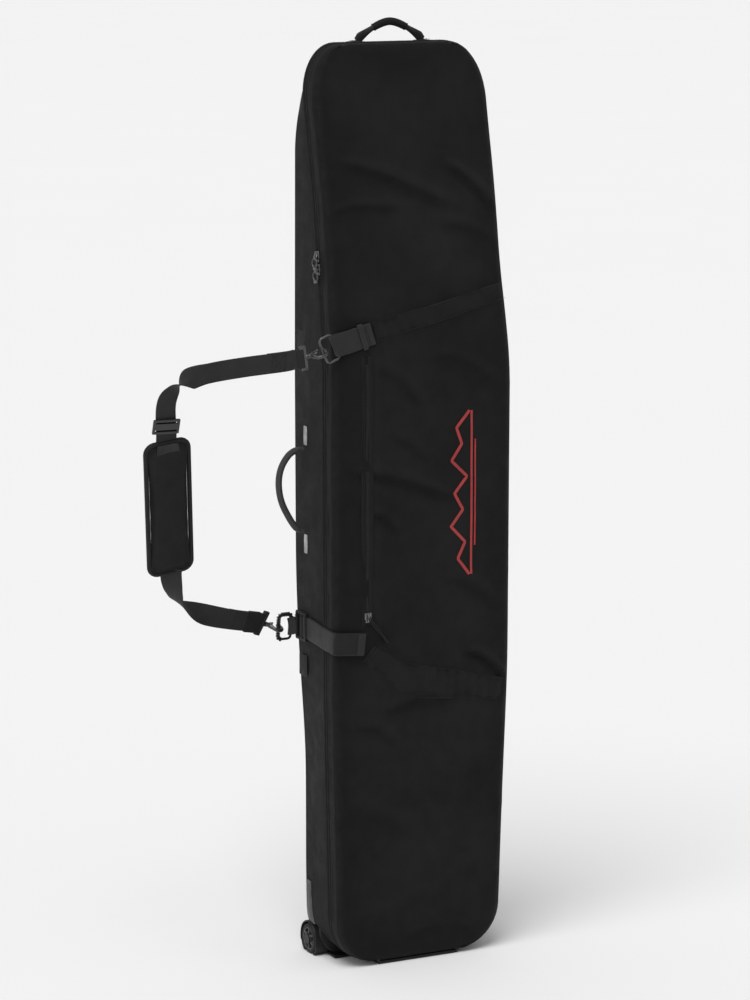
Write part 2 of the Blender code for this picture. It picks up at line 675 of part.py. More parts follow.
def plane_band(name, route, per_span, width, thickness, finish):
    """Webbing lying in the strap's plane along (out, down) points."""
    flat = smooth([Vector(p) for p in route], per_span)
    edges = []
    for k, point in enumerate(flat):
        along = (flat[min(k + 1, len(flat) - 1)] - flat[max(k - 1, 0)]).normalized()
        across = Vector((-along.y, along.x)) * width / 2
        edges.append([in_plane(*(point - across)), in_plane(*(point + across))])
    return band(name, edges, thickness, finish)


def make_shoulder_strap():
    make_ring("strap_ring_upper", RING_UPPER, RING_BAR_UPPER)
    make_ring("strap_ring_lower", RING_LOWER, RING_BAR_LOWER)
    make_hook("upper", RING_UPPER, RING_BAR_UPPER, in_plane(0.0585, 0.0205))
    make_hook("lower", RING_LOWER, RING_BAR_LOWER, in_plane(0.0605, 0.5235))
    plane_band("strap_webbing_upper", UPPER_ROUTE, 3, WEBBING, WEBBING_THICK, "webbing")
    plane_band("strap_webbing_lower", LOWER_ROUTE, 3, WEBBING, WEBBING_THICK, "webbing")
    top, low = in_plane(*PAD_TOP), in_plane(*PAD_LOW)
    down = (low - top).normalized()
    pad = box("shoulder_pad", (PAD_WIDTH, PAD_THICK, (low - top).length - 0.0008), None, "pad_foam", 0.0,
              frame_matrix((top + low) / 2, down.cross(FACING), FACING, -down))
    bevel(pad, 0.005, 2)
    glide = in_plane(*GLIDE_AT) + FACING * (WEBBING_THICK / 2 + GAP + GLIDE_SIZE[2] / 2)
    box("tri_glide", (GLIDE_SIZE[0], GLIDE_SIZE[2], GLIDE_SIZE[1]), None, "moulded_plastic", 0.0012,
        frame_matrix(glide, OUTWARD, FACING, -DOWN))


def main():
    make_shells()
    make_main_zipper()
    make_sliders()
    make_pocket()
    make_compression_straps()
    make_anchor_tabs()
    make_inside()
    make_base()
    make_wheels()
    make_top_handle()
    make_haul_handle()
    make_shoulder_strap()


clear_scene()
PARTS = collection("snowboard_bag")
CUTTERS = collection("cutters")
main()
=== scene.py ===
"""The looks of the wheeled snowboard bag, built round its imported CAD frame. Metres, row frame."""
import json
import math

import bmesh
import bpy
import numpy as np
from mathutils import Matrix, Vector, noise

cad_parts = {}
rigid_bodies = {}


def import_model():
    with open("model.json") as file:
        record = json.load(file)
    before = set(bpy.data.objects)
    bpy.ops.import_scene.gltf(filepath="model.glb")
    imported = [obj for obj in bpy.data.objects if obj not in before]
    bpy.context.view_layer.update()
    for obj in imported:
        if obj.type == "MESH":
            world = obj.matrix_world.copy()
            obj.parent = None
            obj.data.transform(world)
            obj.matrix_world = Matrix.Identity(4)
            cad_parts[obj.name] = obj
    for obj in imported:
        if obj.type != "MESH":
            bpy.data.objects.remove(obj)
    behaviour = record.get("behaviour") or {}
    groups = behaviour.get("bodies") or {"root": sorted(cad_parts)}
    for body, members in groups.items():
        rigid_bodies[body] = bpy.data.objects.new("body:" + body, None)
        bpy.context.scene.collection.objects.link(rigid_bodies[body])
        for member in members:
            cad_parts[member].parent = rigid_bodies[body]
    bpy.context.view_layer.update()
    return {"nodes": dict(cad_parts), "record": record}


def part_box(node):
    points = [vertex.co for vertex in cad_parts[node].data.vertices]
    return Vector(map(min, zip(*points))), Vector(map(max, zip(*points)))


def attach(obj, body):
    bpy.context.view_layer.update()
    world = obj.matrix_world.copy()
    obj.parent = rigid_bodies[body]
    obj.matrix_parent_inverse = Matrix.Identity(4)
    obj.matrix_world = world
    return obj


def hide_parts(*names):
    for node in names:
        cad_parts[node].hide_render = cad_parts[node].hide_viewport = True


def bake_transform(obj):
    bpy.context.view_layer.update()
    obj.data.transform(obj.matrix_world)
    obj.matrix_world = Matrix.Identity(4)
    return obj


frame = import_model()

# ---- the CAD's own figures, repeated because this script can't read part.py ------------------
LENGTH, BOTTOM, BACK_Y = 1.60, 0.008, 0.08
DEPTHS = (
    (0.0, 0.135), (0.11, 0.140), (0.28, 0.146), (0.45, 0.154), (0.58, 0.160), (1.06, 0.160),
    (1.15, 0.152), (1.27, 0.134), (1.37, 0.116), (1.48, 0.090), (1.60, 0.065),
)
HALF_WIDTHS = (
    (0.0, 0.157), (0.12, 0.159), (0.28, 0.163), (0.50, 0.169), (1.05, 0.170), (1.22, 0.164), (1.60, 0.164),
)
BACK_INSETS = (
    (0.0, 0.0), (0.14, 0.001), (0.36, 0.010), (0.45, 0.009), (0.60, 0.003), (0.70, 0.0), (1.46, 0.0),
    (1.53, 0.017), (1.60, 0.017),
)
LEANS = ((0.10, 0.007), (0.60, 0.0), (1.05, 0.0), (1.22, -0.005), (1.60, -0.003))
SMOOTHING = 0.04
TOP_CORNER, LOW_CORNER = (0.062, 0.095), (0.075, 0.075)
FRONT_GUSSET = 0.034
HINGE_LOW, HINGE_HIGH = 0.12, 1.05
BASE_X, WHEEL_Y, WHEEL_RADIUS = 0.007, 0.066, 0.0265
RING_UPPER, RING_LOWER = Vector((-0.169, -0.0835, 1.105)), Vector((-0.1795, 0.0750, 0.594))
RING_BAR = {"upper": Vector((0.40, 0.0, -0.916)).normalized(), "lower": Vector((0.0, 0.12, -0.993)).normalized()}
RING_HALF, RING_REACH, RING_WIRE = 0.0225, 0.024, 0.0022
EYE_TO_RING, HOOK_BOW, HOOK_WIRE = 0.036, 0.013, 0.0022
UPPER_ROUTE = ((0.0705, 0.0220), (0.090, 0.0255), (0.162, 0.0315), (0.225, 0.0395), (0.264, 0.0500), (0.289, 0.0720),
               (0.2960, 0.0970), (0.2862, 0.1608))
LOWER_ROUTE = ((0.2445, 0.4107), (0.2398, 0.4316), (0.2331, 0.4513), (0.2200, 0.4720), (0.1797, 0.4938),
               (0.120, 0.5115), (0.0705, 0.5215))
PAD_TOP, PAD_LOW = (0.2860, 0.1613), (0.2450, 0.4100)
WEBBING, WEBBING_THICK = 0.038, 0.0024

# ---- small helpers ---------------------------------------------------------------------------


def vec(*values):
    return np.array(values, float)


def unit(vectors):
    vectors = np.asarray(vectors, float)
    return vectors / np.maximum(np.linalg.norm(vectors, axis=-1, keepdims=True), 1e-12)


def ease(value):
    value = np.clip(value, 0.0, 1.0)
    return value * value * (3 - 2 * value)


def hump(value, middle, width):
    return np.exp(-((value - middle) / width) ** 2)


def read(table, height):
    heights, values = zip(*table)
    height = np.asarray(height, float)
    return np.mean([np.interp(height + SMOOTHING * k / 4, heights, values) for k in range(-4, 5)], axis=0)


def front_y(height):
    return BACK_Y - read(DEPTHS, height)


def split_y(height):
    return front_y(height) + FRONT_GUSSET


def half_width(height):
    height = np.asarray(height, float)
    loss = np.zeros_like(height)
    for (width, tall), inside in ((TOP_CORNER, height - LENGTH + TOP_CORNER[1]),
                                  (LOW_CORNER, BOTTOM + LOW_CORNER[1] - height)):
        share = np.clip(inside / tall, 0.0, 1.0)
        loss = loss + width * (1 - np.sqrt(1 - share ** 2))
    return read(HALF_WIDTHS, height) - loss


def lean(height):
    return read(LEANS, height)


def bumpy(points, scale, seed=0.0):
    """Smooth noise, about -1 to 1, at each point."""
    shift = Vector((seed, seed * 1.7, seed * 0.3))
    return np.array([noise.noise(Vector(p) * scale + shift) for p in points]) * 1.6


def smooth(points, per_span):
    fixed = [np.asarray(p, float) for p in points]
    padded = [fixed[0] * 2 - fixed[1], *fixed, fixed[-1] * 2 - fixed[-2]]
    along = []
    for p0, p1, p2, p3 in zip(padded, padded[1:], padded[2:], padded[3:]):
        for k in range(per_span):
            t = k / per_span
            along.append(0.5 * (2 * p1 + (p2 - p0) * t + (2 * p0 - 5 * p1 + 4 * p2 - p3) * t ** 2
                                + (3 * p1 - p0 - 3 * p2 + p3) * t ** 3))
    return np.array([*along, fixed[-1]])


def resample(points, step, closed=False):
    points = np.asarray(points, float)
    if closed:
        points = np.vstack([points, points[:1]])
    lengths = np.r_[0, np.cumsum(np.linalg.norm(np.diff(points, axis=0), axis=1))]
    count = max(2, int(round(lengths[-1] / step)))
    at = np.linspace(0, lengths[-1], count + 1)
    if closed:
        at = at[:-1]
    return np.stack([np.interp(at, lengths, points[:, k]) for k in range(points.shape[1])], axis=1)


def tangents(points, closed=False):
    points = np.asarray(points, float)
    if closed:
        return unit(np.roll(points, -1, axis=0) - np.roll(points, 1, axis=0))
    return unit(np.gradient(points, axis=0))


class Soup:
    """Closed shapes gathered into one mesh, with a lay-out attribute for what is swept along a line."""

    def __init__(self):
        self.verts, self.faces, self.lay, self.count = [], [], [], 0

    def add(self, verts, faces, lay=None):
        verts = np.asarray(verts, float).reshape(-1, 3)
        self.verts.append(verts)
        self.faces.extend([tuple(i + self.count for i in face) for face in faces])
        self.lay.append(np.zeros((len(verts), 3)) if lay is None else np.asarray(lay, float))
        self.count += len(verts)
        return self

    def sweep(self, path, across, profile, closed=False):
        """profile is (n, 2) or (len(path), n, 2): along `across`, and along its square-on partner."""
        path, along = np.asarray(path, float), tangents(path, closed)
        across = np.broadcast_to(np.asarray(across, float), path.shape)
        across = unit(across - along * np.sum(across * along, axis=1, keepdims=True))
        facing = np.cross(along, across)
        profile = np.asarray(profile, float)
        if profile.ndim == 2:
            profile = np.broadcast_to(profile, (len(path), *profile.shape))
        n, m = len(path), profile.shape[1]
        verts = path[:, None] + profile[..., :1] * across[:, None] + profile[..., 1:] * facing[:, None]
        run = np.r_[0, np.cumsum(np.linalg.norm(np.diff(path, axis=0), axis=1))]
        lay = np.stack([profile[..., 0], np.broadcast_to(run[:, None], (n, m)), profile[..., 1]], axis=-1)
        faces = [(k * m + j, k * m + (j + 1) % m, ((k + 1) % n) * m + (j + 1) % m, ((k + 1) % n) * m + j)
                 for k in range(n if closed else n - 1) for j in range(m)]
        if not closed:
            faces += [tuple(reversed(range(m))), tuple((n - 1) * m + j for j in range(m))]
        return self.add(verts.reshape(-1, 3), faces, lay.reshape(-1, 3))

    def tube(self, path, radius, closed=False, sides=12, flat=1.0):
        """A round wire; radius may change along it, and flat narrows it along its second direction."""
        path = np.asarray(path, float)
        along = tangents(path, closed)
        guide = vec(0, 1, 0) if abs(along[:, 1]).mean() < 0.7 else vec(0, 0, 1)
        turn = np.arange(sides) * 2 * math.pi / sides
        circle = np.stack([np.cos(turn), np.sin(turn) * flat], axis=1)
        radius = np.broadcast_to(np.asarray(radius, float), (len(path),))
        return self.sweep(path, guide, circle[None] * radius[:, None, None], closed)

    def block(self, size, place, rounding=0.001, segments=2):
        bm = bmesh.new()
        bmesh.ops.create_cube(bm, size=1.0)
        bmesh.ops.scale(bm, verts=bm.verts, vec=size)
        if rounding:
            bmesh.ops.bevel(bm, geom=bm.edges[:], offset=rounding, segments=segments, affect="EDGES", profile=0.6)
        return self.take(bm, place)

    def take(self, bm, place=Matrix.Identity(4)):
        bm.transform(place)
        bm.verts.index_update()
        self.add([v.co[:] for v in bm.verts], [[v.index for v in f.verts] for f in bm.faces])
        bm.free()
        return self

    def turned(self, profile, place, sides=40):
        """A closed profile of (radius, distance along) turned about the place's X axis."""
        profile = np.asarray(profile, float)
        turn = np.arange(sides) * 2 * math.pi / sides
        n = len(profile)
        verts = np.stack([np.broadcast_to(profile[:, 1], (sides, n)), profile[:, 0] * np.cos(turn)[:, None],
                          profile[:, 0] * np.sin(turn)[:, None]], axis=-1).reshape(-1, 3)
        matrix = np.array(place)
        verts = verts @ matrix[:3, :3].T + matrix[:3, 3]
        faces = [(k * n + j, k * n + (j + 1) % n, ((k + 1) % sides) * n + (j + 1) % n, ((k + 1) % sides) * n + j)
                 for k in range(sides) for j in range(n)]
        return self.add(verts, faces)

    def piece(self, name, finish, body, slot=None, stands_for=(), shade=True, levels=0, clean=True):
        mesh = bpy.data.meshes.new(name)
        mesh.from_pydata(np.concatenate(self.verts).tolist(), [], self.faces)
        attribute = mesh.attributes.new("lay", "FLOAT_VECTOR", "POINT")
        attribute.data.foreach_set("vector", np.concatenate(self.lay).astype(np.float32).ravel())
        return dress(name, mesh, finish, body, stands_for, shade, levels, clean)


def dress(name, mesh, finish, body, stands_for=(), shade=True, levels=0, clean=True):
    """Links a mesh as a piece with its finish, body and the CAD nodes that it stands for."""
    if clean:
        bm = bmesh.new()
        bm.from_mesh(mesh)
        bmesh.ops.recalc_face_normals(bm, faces=bm.faces)
        bm.to_mesh(mesh)
        bm.free()
    made = bpy.data.objects.new(name, mesh)
    bpy.context.scene.collection.objects.link(made)
    for one in finish if isinstance(finish, (list, tuple)) else [finish]:
        mesh.materials.append(one)
    if shade:
        mesh.shade_smooth()
        mesh.set_sharp_from_angle(angle=math.radians(42))
    if levels:
        subdivided = made.modifiers.new("finer", "SUBSURF")
        subdivided.levels = subdivided.render_levels = levels
    if body:
        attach(made, body)
    if stands_for:
        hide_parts(*stands_for)
    return made


def frame_matrix(origin, x_axis, y_axis, z_axis):
    turned_to = Matrix((x_axis, y_axis, z_axis)).transposed().to_4x4()
    return Matrix.Translation(origin) @ turned_to


def webbing_profile(width, thick):
    """A webbing's section: flat, with thinner rounded selvedges."""
    half, t = width / 2, thick / 2
    top = [(-half, 0.3 * t), (-half + 0.0010, 0.95 * t), (-half + 0.0022, t), (-half * 0.5, t), (0, t),
           (half * 0.5, t), (half - 0.0022, t), (half - 0.0010, 0.95 * t), (half, 0.3 * t)]
    return np.array(top + [(x, -y) for x, y in reversed(top)])


# ---- finishes --------------------------------------------------------------------------------


class Finish:
    """A Principled material whose colour, roughness and bump come from nodes."""

    def __init__(self, name, colour, rough, metallic=0.0, sheen=0.0, coat=0.0, gloss=0.5):
        self.material = bpy.data.materials.new(name)
        self.material.use_nodes = True
        self.tree = self.material.node_tree
        self.shader = self.tree.nodes["Principled BSDF"]
        self.colour, self.rough = colour, rough
        for socket, value in (("Metallic", metallic), ("Sheen Weight", sheen), ("Sheen Roughness", 0.5),
                              ("Coat Weight", coat), ("Coat Roughness", 0.25), ("Specular IOR Level", gloss)):
            self.shader.inputs[socket].default_value = value
        self.place = self.node("ShaderNodeTexCoord").outputs["Object"]
        self.height = None
        self.tint = None

    def node(self, kind, **settings):
        made = self.tree.nodes.new(kind)
        for key, value in settings.items():
            setattr(made, key, value)
        return made

    def link(self, source, target):
        if isinstance(source, (int, float)):
            target.default_value = source
        elif isinstance(source, tuple):
            target.default_value = source
        else:
            self.tree.links.new(source, target)

    def math(self, operation, *values, clamp=False):
        made = self.node("ShaderNodeMath", operation=operation, use_clamp=clamp)
        for k, value in enumerate(values):
            self.link(value, made.inputs[k])
        return made.outputs[0]

    def dot(self, source, direction):
        made = self.node("ShaderNodeVectorMath", operation="DOT_PRODUCT")
        self.link(source, made.inputs[0])
        made.inputs[1].default_value = direction
        return made.outputs["Value"]

    def noise(self, scale, detail=3.0, stretch=None, source=None, distortion=0.0):
        source = source or self.place
        if stretch:
            made = self.node("ShaderNodeVectorMath", operation="MULTIPLY")
            self.link(source, made.inputs[0])
            made.inputs[1].default_value = stretch
            source = made.outputs[0]
        made = self.node("ShaderNodeTexNoise")
        made.inputs["Scale"].default_value = scale
        made.inputs["Detail"].default_value = detail
        made.inputs["Distortion"].default_value = distortion
        self.link(source, made.inputs["Vector"])
        return made.outputs["Fac"]

    def spread(self, value, low, high, to_low=0.0, to_high=1.0):
        made = self.node("ShaderNodeMapRange")
        for socket, number in (("From Min", low), ("From Max", high), ("To Min", to_low), ("To Max", to_high)):
            made.inputs[socket].default_value = number
        self.link(value, made.inputs["Value"])
        return made.outputs[0]

    def wave(self, value, pitch):
        """A wave from 0 to 1 with this pitch in metres."""
        turned = self.math("MULTIPLY", value, 2 * math.pi / pitch)
        return self.math("MULTIPLY_ADD", self.math("SINE", turned), 0.5, 0.5)

    def raise_by(self, value, share=1.0):
        scaled = self.math("MULTIPLY", value, share)
        self.height = scaled if self.height is None else self.math("ADD", self.height, scaled)

    def shade_by(self, value, low, high):
        """Multiplies the colour by low where value is 0 and by high where it is 1."""
        factor = self.spread(value, 0.0, 1.0, low, high)
        self.tint = factor if self.tint is None else self.math("MULTIPLY", self.tint, factor)

    def weave(self, pitch=0.0011, tone=0.25, depth=1.0):
        """A plain weave in the row frame: crossing yarns that show on every upright face."""
        over = self.wave(self.dot(self.place, (1.0, 1.0, 0.0)), pitch)
        under = self.wave(self.dot(self.place, (0.0, 0.35, 1.0)), pitch)
        yarns = self.math("ADD", self.math("MULTIPLY", over, under),
                          self.math("MULTIPLY", self.math("SUBTRACT", 1.0, over), self.math("SUBTRACT", 1.0, under)))
        self.raise_by(yarns, depth)
        self.shade_by(yarns, 1.0 - tone, 1.0 + tone)
        return self

    def ribs(self, across=0.0021, along=0.0015, tone=0.3, depth=1.0):
        """Webbing: ribs and crossing yarns laid out along the strap."""
        lay = self.node("ShaderNodeAttribute", attribute_name="lay").outputs["Vector"]
        rib = self.wave(self.dot(lay, (1.0, 0.0, 0.0)), across)
        rib_along = self.wave(self.dot(lay, (0.7, 1.0, 0.0)), along)
        cloth = self.math("MULTIPLY", rib, self.math("MULTIPLY_ADD", rib_along, 0.6, 0.4))
        self.raise_by(cloth, depth)
        self.shade_by(cloth, 1.0 - tone, 1.0 + tone)
        return self

    def painted_crease_shade(self, amount=0.24):
        """Painted shade: ridges a little paler and valleys darker, from the "fold" attribute (metres from the mean)."""
        fold = self.node("ShaderNodeAttribute", attribute_name="fold").outputs["Fac"]
        self.shade_by(self.spread(fold, -0.0022, 0.0022), 1 - amount, 1 + amount)
        return self

    def mottle(self, scale=6.0, amount=0.12, stretch=None, detail=4.0):
        self.shade_by(self.spread(self.noise(scale, detail, stretch), 0.3, 0.7), 1 - amount, 1 + amount)
        return self

    def grain(self, scale=900.0, depth=0.5, tone=0.06):
        speckle = self.noise(scale, 2.0)
        self.raise_by(speckle, depth)
        self.shade_by(speckle, 1 - tone, 1 + tone)
        return self

    def wear(self, colour, amount=0.5, low=0.52, high=0.60):
        """Edges and corners rubbed towards a paler colour, broken up by noise."""
        edge = self.spread(self.node("ShaderNodeNewGeometry").outputs["Pointiness"], low, high)
        patchy = self.math("MULTIPLY", edge, self.spread(self.noise(70.0, 3.0), 0.35, 0.65))
        self.worn = (self.math("MULTIPLY", patchy, amount, clamp=True), colour)
        return self

    def done(self, bump=0.0004, strength=0.6, rough_spread=0.10):
        colour = self.node("ShaderNodeVectorMath", operation="SCALE")
        colour.inputs[0].default_value = self.colour
        self.link(self.tint if self.tint is not None else 1.0, colour.inputs["Scale"])
        result = colour.outputs[0]
        if hasattr(self, "worn"):
            share, paler = self.worn
            mixed = self.node("ShaderNodeMix", data_type="RGBA")
            self.link(share, mixed.inputs["Factor"])
            self.link(result, mixed.inputs["A"])
            mixed.inputs["B"].default_value = (*paler, 1.0)
            result = mixed.outputs["Result"]
        self.link(result, self.shader.inputs["Base Color"])
        varied = self.spread(self.noise(38.0, 4.0), 0.3, 0.7, self.rough - rough_spread, self.rough + rough_spread)
        self.link(varied, self.shader.inputs["Roughness"])
        if self.height is not None:
            made = self.node("ShaderNodeBump")
            made.inputs["Distance"].default_value = bump
            made.inputs["Strength"].default_value = strength
            self.link(self.height, made.inputs["Height"])
            self.link(made.outputs["Normal"], self.shader.inputs["Normal"])
        return self.material


# The shell and sleeve fabrics carry painted shade: their colour is darker in fold valleys and paler on fold crests.
FABRIC = Finish("bag_fabric", (0.0105, 0.0105, 0.0110), 0.72, sheen=0.02, gloss=0.10).weave(0.0012, 0.22).painted_crease_shade().mottle(
    2.2, 0.05, (1, 1, 0.4)).mottle(60.0, 0.05, (1, 1, 0.35)).grain(1400, 0.3, 0.08).wear((0.035, 0.035, 0.037), 0.25).done(0.00035)
SLEEVE = Finish("sleeve_fabric", (0.0100, 0.0100, 0.0105), 0.68, sheen=0.02, gloss=0.12).weave(0.0012, 0.22).painted_crease_shade(0.20).mottle(
    18.0, 0.10).grain(1400, 0.3, 0.08).wear((0.035, 0.035, 0.037), 0.25).done(0.00035)
LINING = Finish("lining_fabric", (0.030, 0.031, 0.034), 0.78, gloss=0.2).weave(0.0009, 0.18).mottle(12.0, 0.1).done(0.0002)
STRAP = Finish("strap_webbing", (0.022, 0.022, 0.023), 0.60, sheen=0.04, gloss=0.20).ribs().mottle(
    30.0, 0.10).wear((0.07, 0.07, 0.075), 0.30).done(0.00045, 0.7)
TAPE = Finish("zipper_tape", (0.013, 0.013, 0.0135), 0.66, sheen=0.03, gloss=0.18).ribs(0.0014, 0.0011, 0.35).mottle(
    25.0, 0.10).done(0.0003, 0.6)
COIL = Finish("zipper_coil", (0.012, 0.012, 0.0125), 0.42, gloss=0.35).grain(1100, 0.4).mottle(40.0, 0.1).done(0.0001, 0.4)
THREAD = Finish("sewing_thread", (0.0155, 0.0155, 0.0160), 0.55, sheen=0.03, gloss=0.2).grain(2600, 0.6, 0.15).mottle(
    60.0, 0.12).done(0.0001, 0.5)
METAL = Finish("coated_metal", (0.032, 0.032, 0.034), 0.40, metallic=0.70, gloss=0.3).grain(420, 0.35, 0.05).mottle(
    24.0, 0.15).wear((0.26, 0.255, 0.25), 0.45, 0.66, 0.80).done(0.0001, 0.25, 0.12)
BRIGHT = Finish("zipper_metal", (0.17, 0.17, 0.175), 0.33, metallic=0.85).grain(500, 0.3, 0.05).mottle(
    30.0, 0.2).wear((0.5, 0.5, 0.5), 0.5, 0.62, 0.78).done(0.0001, 0.25, 0.12)
RING_METAL = Finish("ring_metal", (0.085, 0.085, 0.088), 0.34, metallic=0.8).grain(420, 0.3, 0.05).mottle(
    30.0, 0.15).wear((0.40, 0.40, 0.40), 0.5, 0.66, 0.80).done(0.0001, 0.25, 0.1)
PLASTIC = Finish("moulded_plastic", (0.0105, 0.0105, 0.0110), 0.50, gloss=0.22).grain(700, 0.6, 0.08).mottle(
    14.0, 0.10).wear((0.060, 0.060, 0.062), 0.4, 0.56, 0.70).done(0.00012, 0.5)
HUB = Finish("hub_plastic", (0.034, 0.034, 0.036), 0.42, gloss=0.4).grain(700, 0.5, 0.06).mottle(
    20.0, 0.12).wear((0.16, 0.16, 0.165), 0.5).done(0.0001, 0.4)
RUBBER = Finish("tyre_rubber", (0.014, 0.014, 0.014), 0.75, gloss=0.3).grain(520, 0.7, 0.12).mottle(
    35.0, 0.18).wear((0.075, 0.07, 0.066), 0.5).done(0.0002, 0.6)
PADDING = Finish("pad_fabric", (0.0165, 0.0165, 0.0172), 0.80, sheen=0.03, gloss=0.10).weave(0.0016, 0.30).mottle(
    28.0, 0.12).grain(1100, 0.4, 0.1).done(0.0005, 0.7)
BINDING = Finish("edge_binding", (0.0085, 0.0085, 0.0090), 0.60, sheen=0.03, gloss=0.22).grain(1500, 0.6, 0.15).mottle(
    40.0, 0.1).done(0.0003, 0.6)
BOARD = Finish("stiffener_board", (0.16, 0.16, 0.165), 0.55).grain(260, 0.6, 0.06).mottle(8.0, 0.1).done(0.0002)
PRINT = Finish("red_print", (0.33, 0.024, 0.024), 0.58).weave(0.0012, 0.14, 0.6).mottle(
    45.0, 0.14).wear((0.05, 0.012, 0.012), 0.25).done(0.0002)


# ---- camera, floor and light ------------------------------------------------------------------

VIEW = {"azimuth": -26.485, "elevation": 10.29, "distance": 6.0, "lens": 125.0, "target": Vector((-0.053, 0.0, 0.819))}


def aim(thing, place, target):
    thing.location = place
    thing.rotation_mode = "QUATERNION"
    thing.rotation_quaternion = (Vector(target) - Vector(place)).to_track_quat("-Z", "Y")


def make_camera():
    data = bpy.data.cameras.new("camera")
    data.lens, data.sensor_width = VIEW["lens"], 36.0
    data.clip_start, data.clip_end = 0.1, 400.0
    camera = bpy.data.objects.new("camera", data)
    bpy.context.scene.collection.objects.link(camera)
    turn, tilt = math.radians(VIEW["azimuth"]), math.radians(VIEW["elevation"])
    back = Vector((math.sin(turn) * math.cos(tilt), -math.cos(turn) * math.cos(tilt), math.sin(tilt)))
    aim(camera, VIEW["target"] + back * VIEW["distance"], VIEW["target"])
    bpy.context.scene.camera = camera


def soft_sun(name, towards, strength, softness):
    """A wide, soft light from one side: it lights the whole floor evenly."""
    data = bpy.data.lights.new(name, "SUN")
    data.energy, data.angle = strength, math.radians(softness)
    light = bpy.data.objects.new(name, data)
    bpy.context.scene.collection.objects.link(light)
    aim(light, Vector(towards) * -6.0, (0.0, 0.0, 0.0))


def make_studio():
    world = bpy.data.worlds.new("studio")
    bpy.context.scene.world = world
    world.use_nodes = True
    background = world.node_tree.nodes["Background"]
    background.inputs["Color"].default_value = (1.0, 1.0, 1.0, 1.0)
    background.inputs["Strength"].default_value = 0.47
    soft_sun("top_light", (0.34, 0.34, -0.88), 1.70, 35.0)
    soft_sun("side_light", (0.90, 0.25, -0.36), 0.38, 40.0)
    paint = Finish("floor_paint", (0.93, 0.93, 0.93), 0.9).mottle(0.7, 0.004).done(0.0001, 0.05, 0.02)
    bm = bmesh.new()
    bmesh.ops.create_grid(bm, x_segments=1, y_segments=1, size=120.0)
    mesh = bpy.data.meshes.new("floor")
    bm.to_mesh(mesh)
    bm.free()
    mesh.materials.append(paint)
    floor = bpy.data.objects.new("floor", mesh)
    bpy.context.scene.collection.objects.link(floor)
    scene = bpy.context.scene
    scene.view_settings.view_transform = "Standard"
    scene.view_settings.look = "None"


# ---- the outline and the two shells -------------------------------------------------------------

EDGE_ROUND = 0.0052
COLUMNS = 56
ROW_STEP = 0.0062
CORNER_ROWS = 13


def row_heights():
    quarter = np.linspace(0, math.pi / 2, CORNER_ROWS)
    low = BOTTOM + LOW_CORNER[1] * (1 - np.cos(quarter))
    high = LENGTH - TOP_CORNER[1] * (1 - np.cos(quarter[::-1]))
    count = int(round((high[0] - low[-1]) / ROW_STEP))
    return np.r_[low, np.linspace(low[-1], high[0], count + 1)[1:-1], high]


ROWS = row_heights()


def outline(step=0.004):
    """The closed outline as (x, height), starting at the middle of the base and going to the right."""
    z = ROWS
    right = np.stack([lean(z) + half_width(z), z], axis=1)
    left = np.stack([lean(z) - half_width(z), z], axis=1)[::-1]
    middle = np.array([[BASE_X, BOTTOM]])
    return resample(np.vstack([middle, right, left]), step, closed=True)


def outward_of(points):
    along = tangents(points, closed=True)
    return np.stack([along[:, 1], -along[:, 0]], axis=1)


def segment_share(x, z, start, end):
    """Where each point lies along a line (0 to 1) and its signed distance across it."""
    start, end = np.array(start, float), np.array(end, float)
    along = end - start
    length = np.linalg.norm(along)
    along = along / length
    dx, dz = x - start[0], z - start[1]
    return (dx * along[0] + dz * along[1]) / length, dz * along[0] - dx * along[1]


# Soft folds of the front panel: start, end, half-width, height. A crease has a valley under its ridge.
PANEL_FOLDS = (
    ((-0.135, 1.402), (0.065, 1.338), 0.013, 0.0042), ((0.070, 1.395), (0.165, 1.312), 0.010, 0.0045),
    ((-0.165, 1.318), (-0.040, 1.336), 0.010, 0.0025), ((0.040, 1.300), (0.155, 1.270), 0.012, 0.0022),
    ((-0.125, 0.884), (0.050, 0.838), 0.011, 0.0036), ((-0.105, 0.812), (-0.045, 0.785), 0.009, 0.0028),
    ((-0.075, 0.462), (0.055, 0.484), 0.011, 0.0024), ((-0.120, 0.440), (-0.045, 0.412), 0.010, 0.0017),
    ((0.085, 0.556), (0.168, 0.503), 0.008, 0.0050), ((-0.030, 0.045), (0.110, 0.058), 0.011, 0.0014),
    ((0.020, 1.080), (0.140, 1.030), 0.014, 0.0018), ((-0.060, 0.940), (0.010, 0.905), 0.010, 0.0016),
    ((-0.080, 1.060), (0.000, 1.000), 0.012, 0.0018), ((0.050, 0.690), (0.150, 0.640), 0.013, 0.0020),
    ((-0.140, 0.300), (-0.020, 0.250), 0.016, 0.0010),
)


def fold_heights(x, z):
    total = np.zeros_like(x)
    for start, end, width, height in PANEL_FOLDS:
        share, across = segment_share(x, z, start, end)
        bend = 0.006 * np.sin(share * math.pi * 1.4)
        n = (across - bend) / width
        fade = ease((share + 0.15) / 0.35) * ease((1.15 - share) / 0.35)
        total += 1.45 * height * fade * (1.7 * n * np.exp(-n * n) - 0.35 * np.exp(-n * n))
    return total


def pucker(x, z, start, end, pitch, reach, height, seed):
    """Short gathers square to a sewn line, dying out away from it."""
    share, across = segment_share(x, z, start, end)
    length = math.hypot(end[0] - start[0], end[1] - start[1])
    run = share * length
    inside = ease((share + 0.02) / 0.05) * ease((1.02 - share) / 0.05)
    wobble = 0.35 * pitch * np.sin(run * 61 + seed) + 0.2 * pitch * np.sin(run * 143 + seed * 2)
    wave = np.sin((run + wobble) * 2 * math.pi / pitch + seed)
    return height * wave * inside * np.exp(-np.abs(across) / reach) * (0.6 + 0.4 * np.sin(run * 37 + seed))


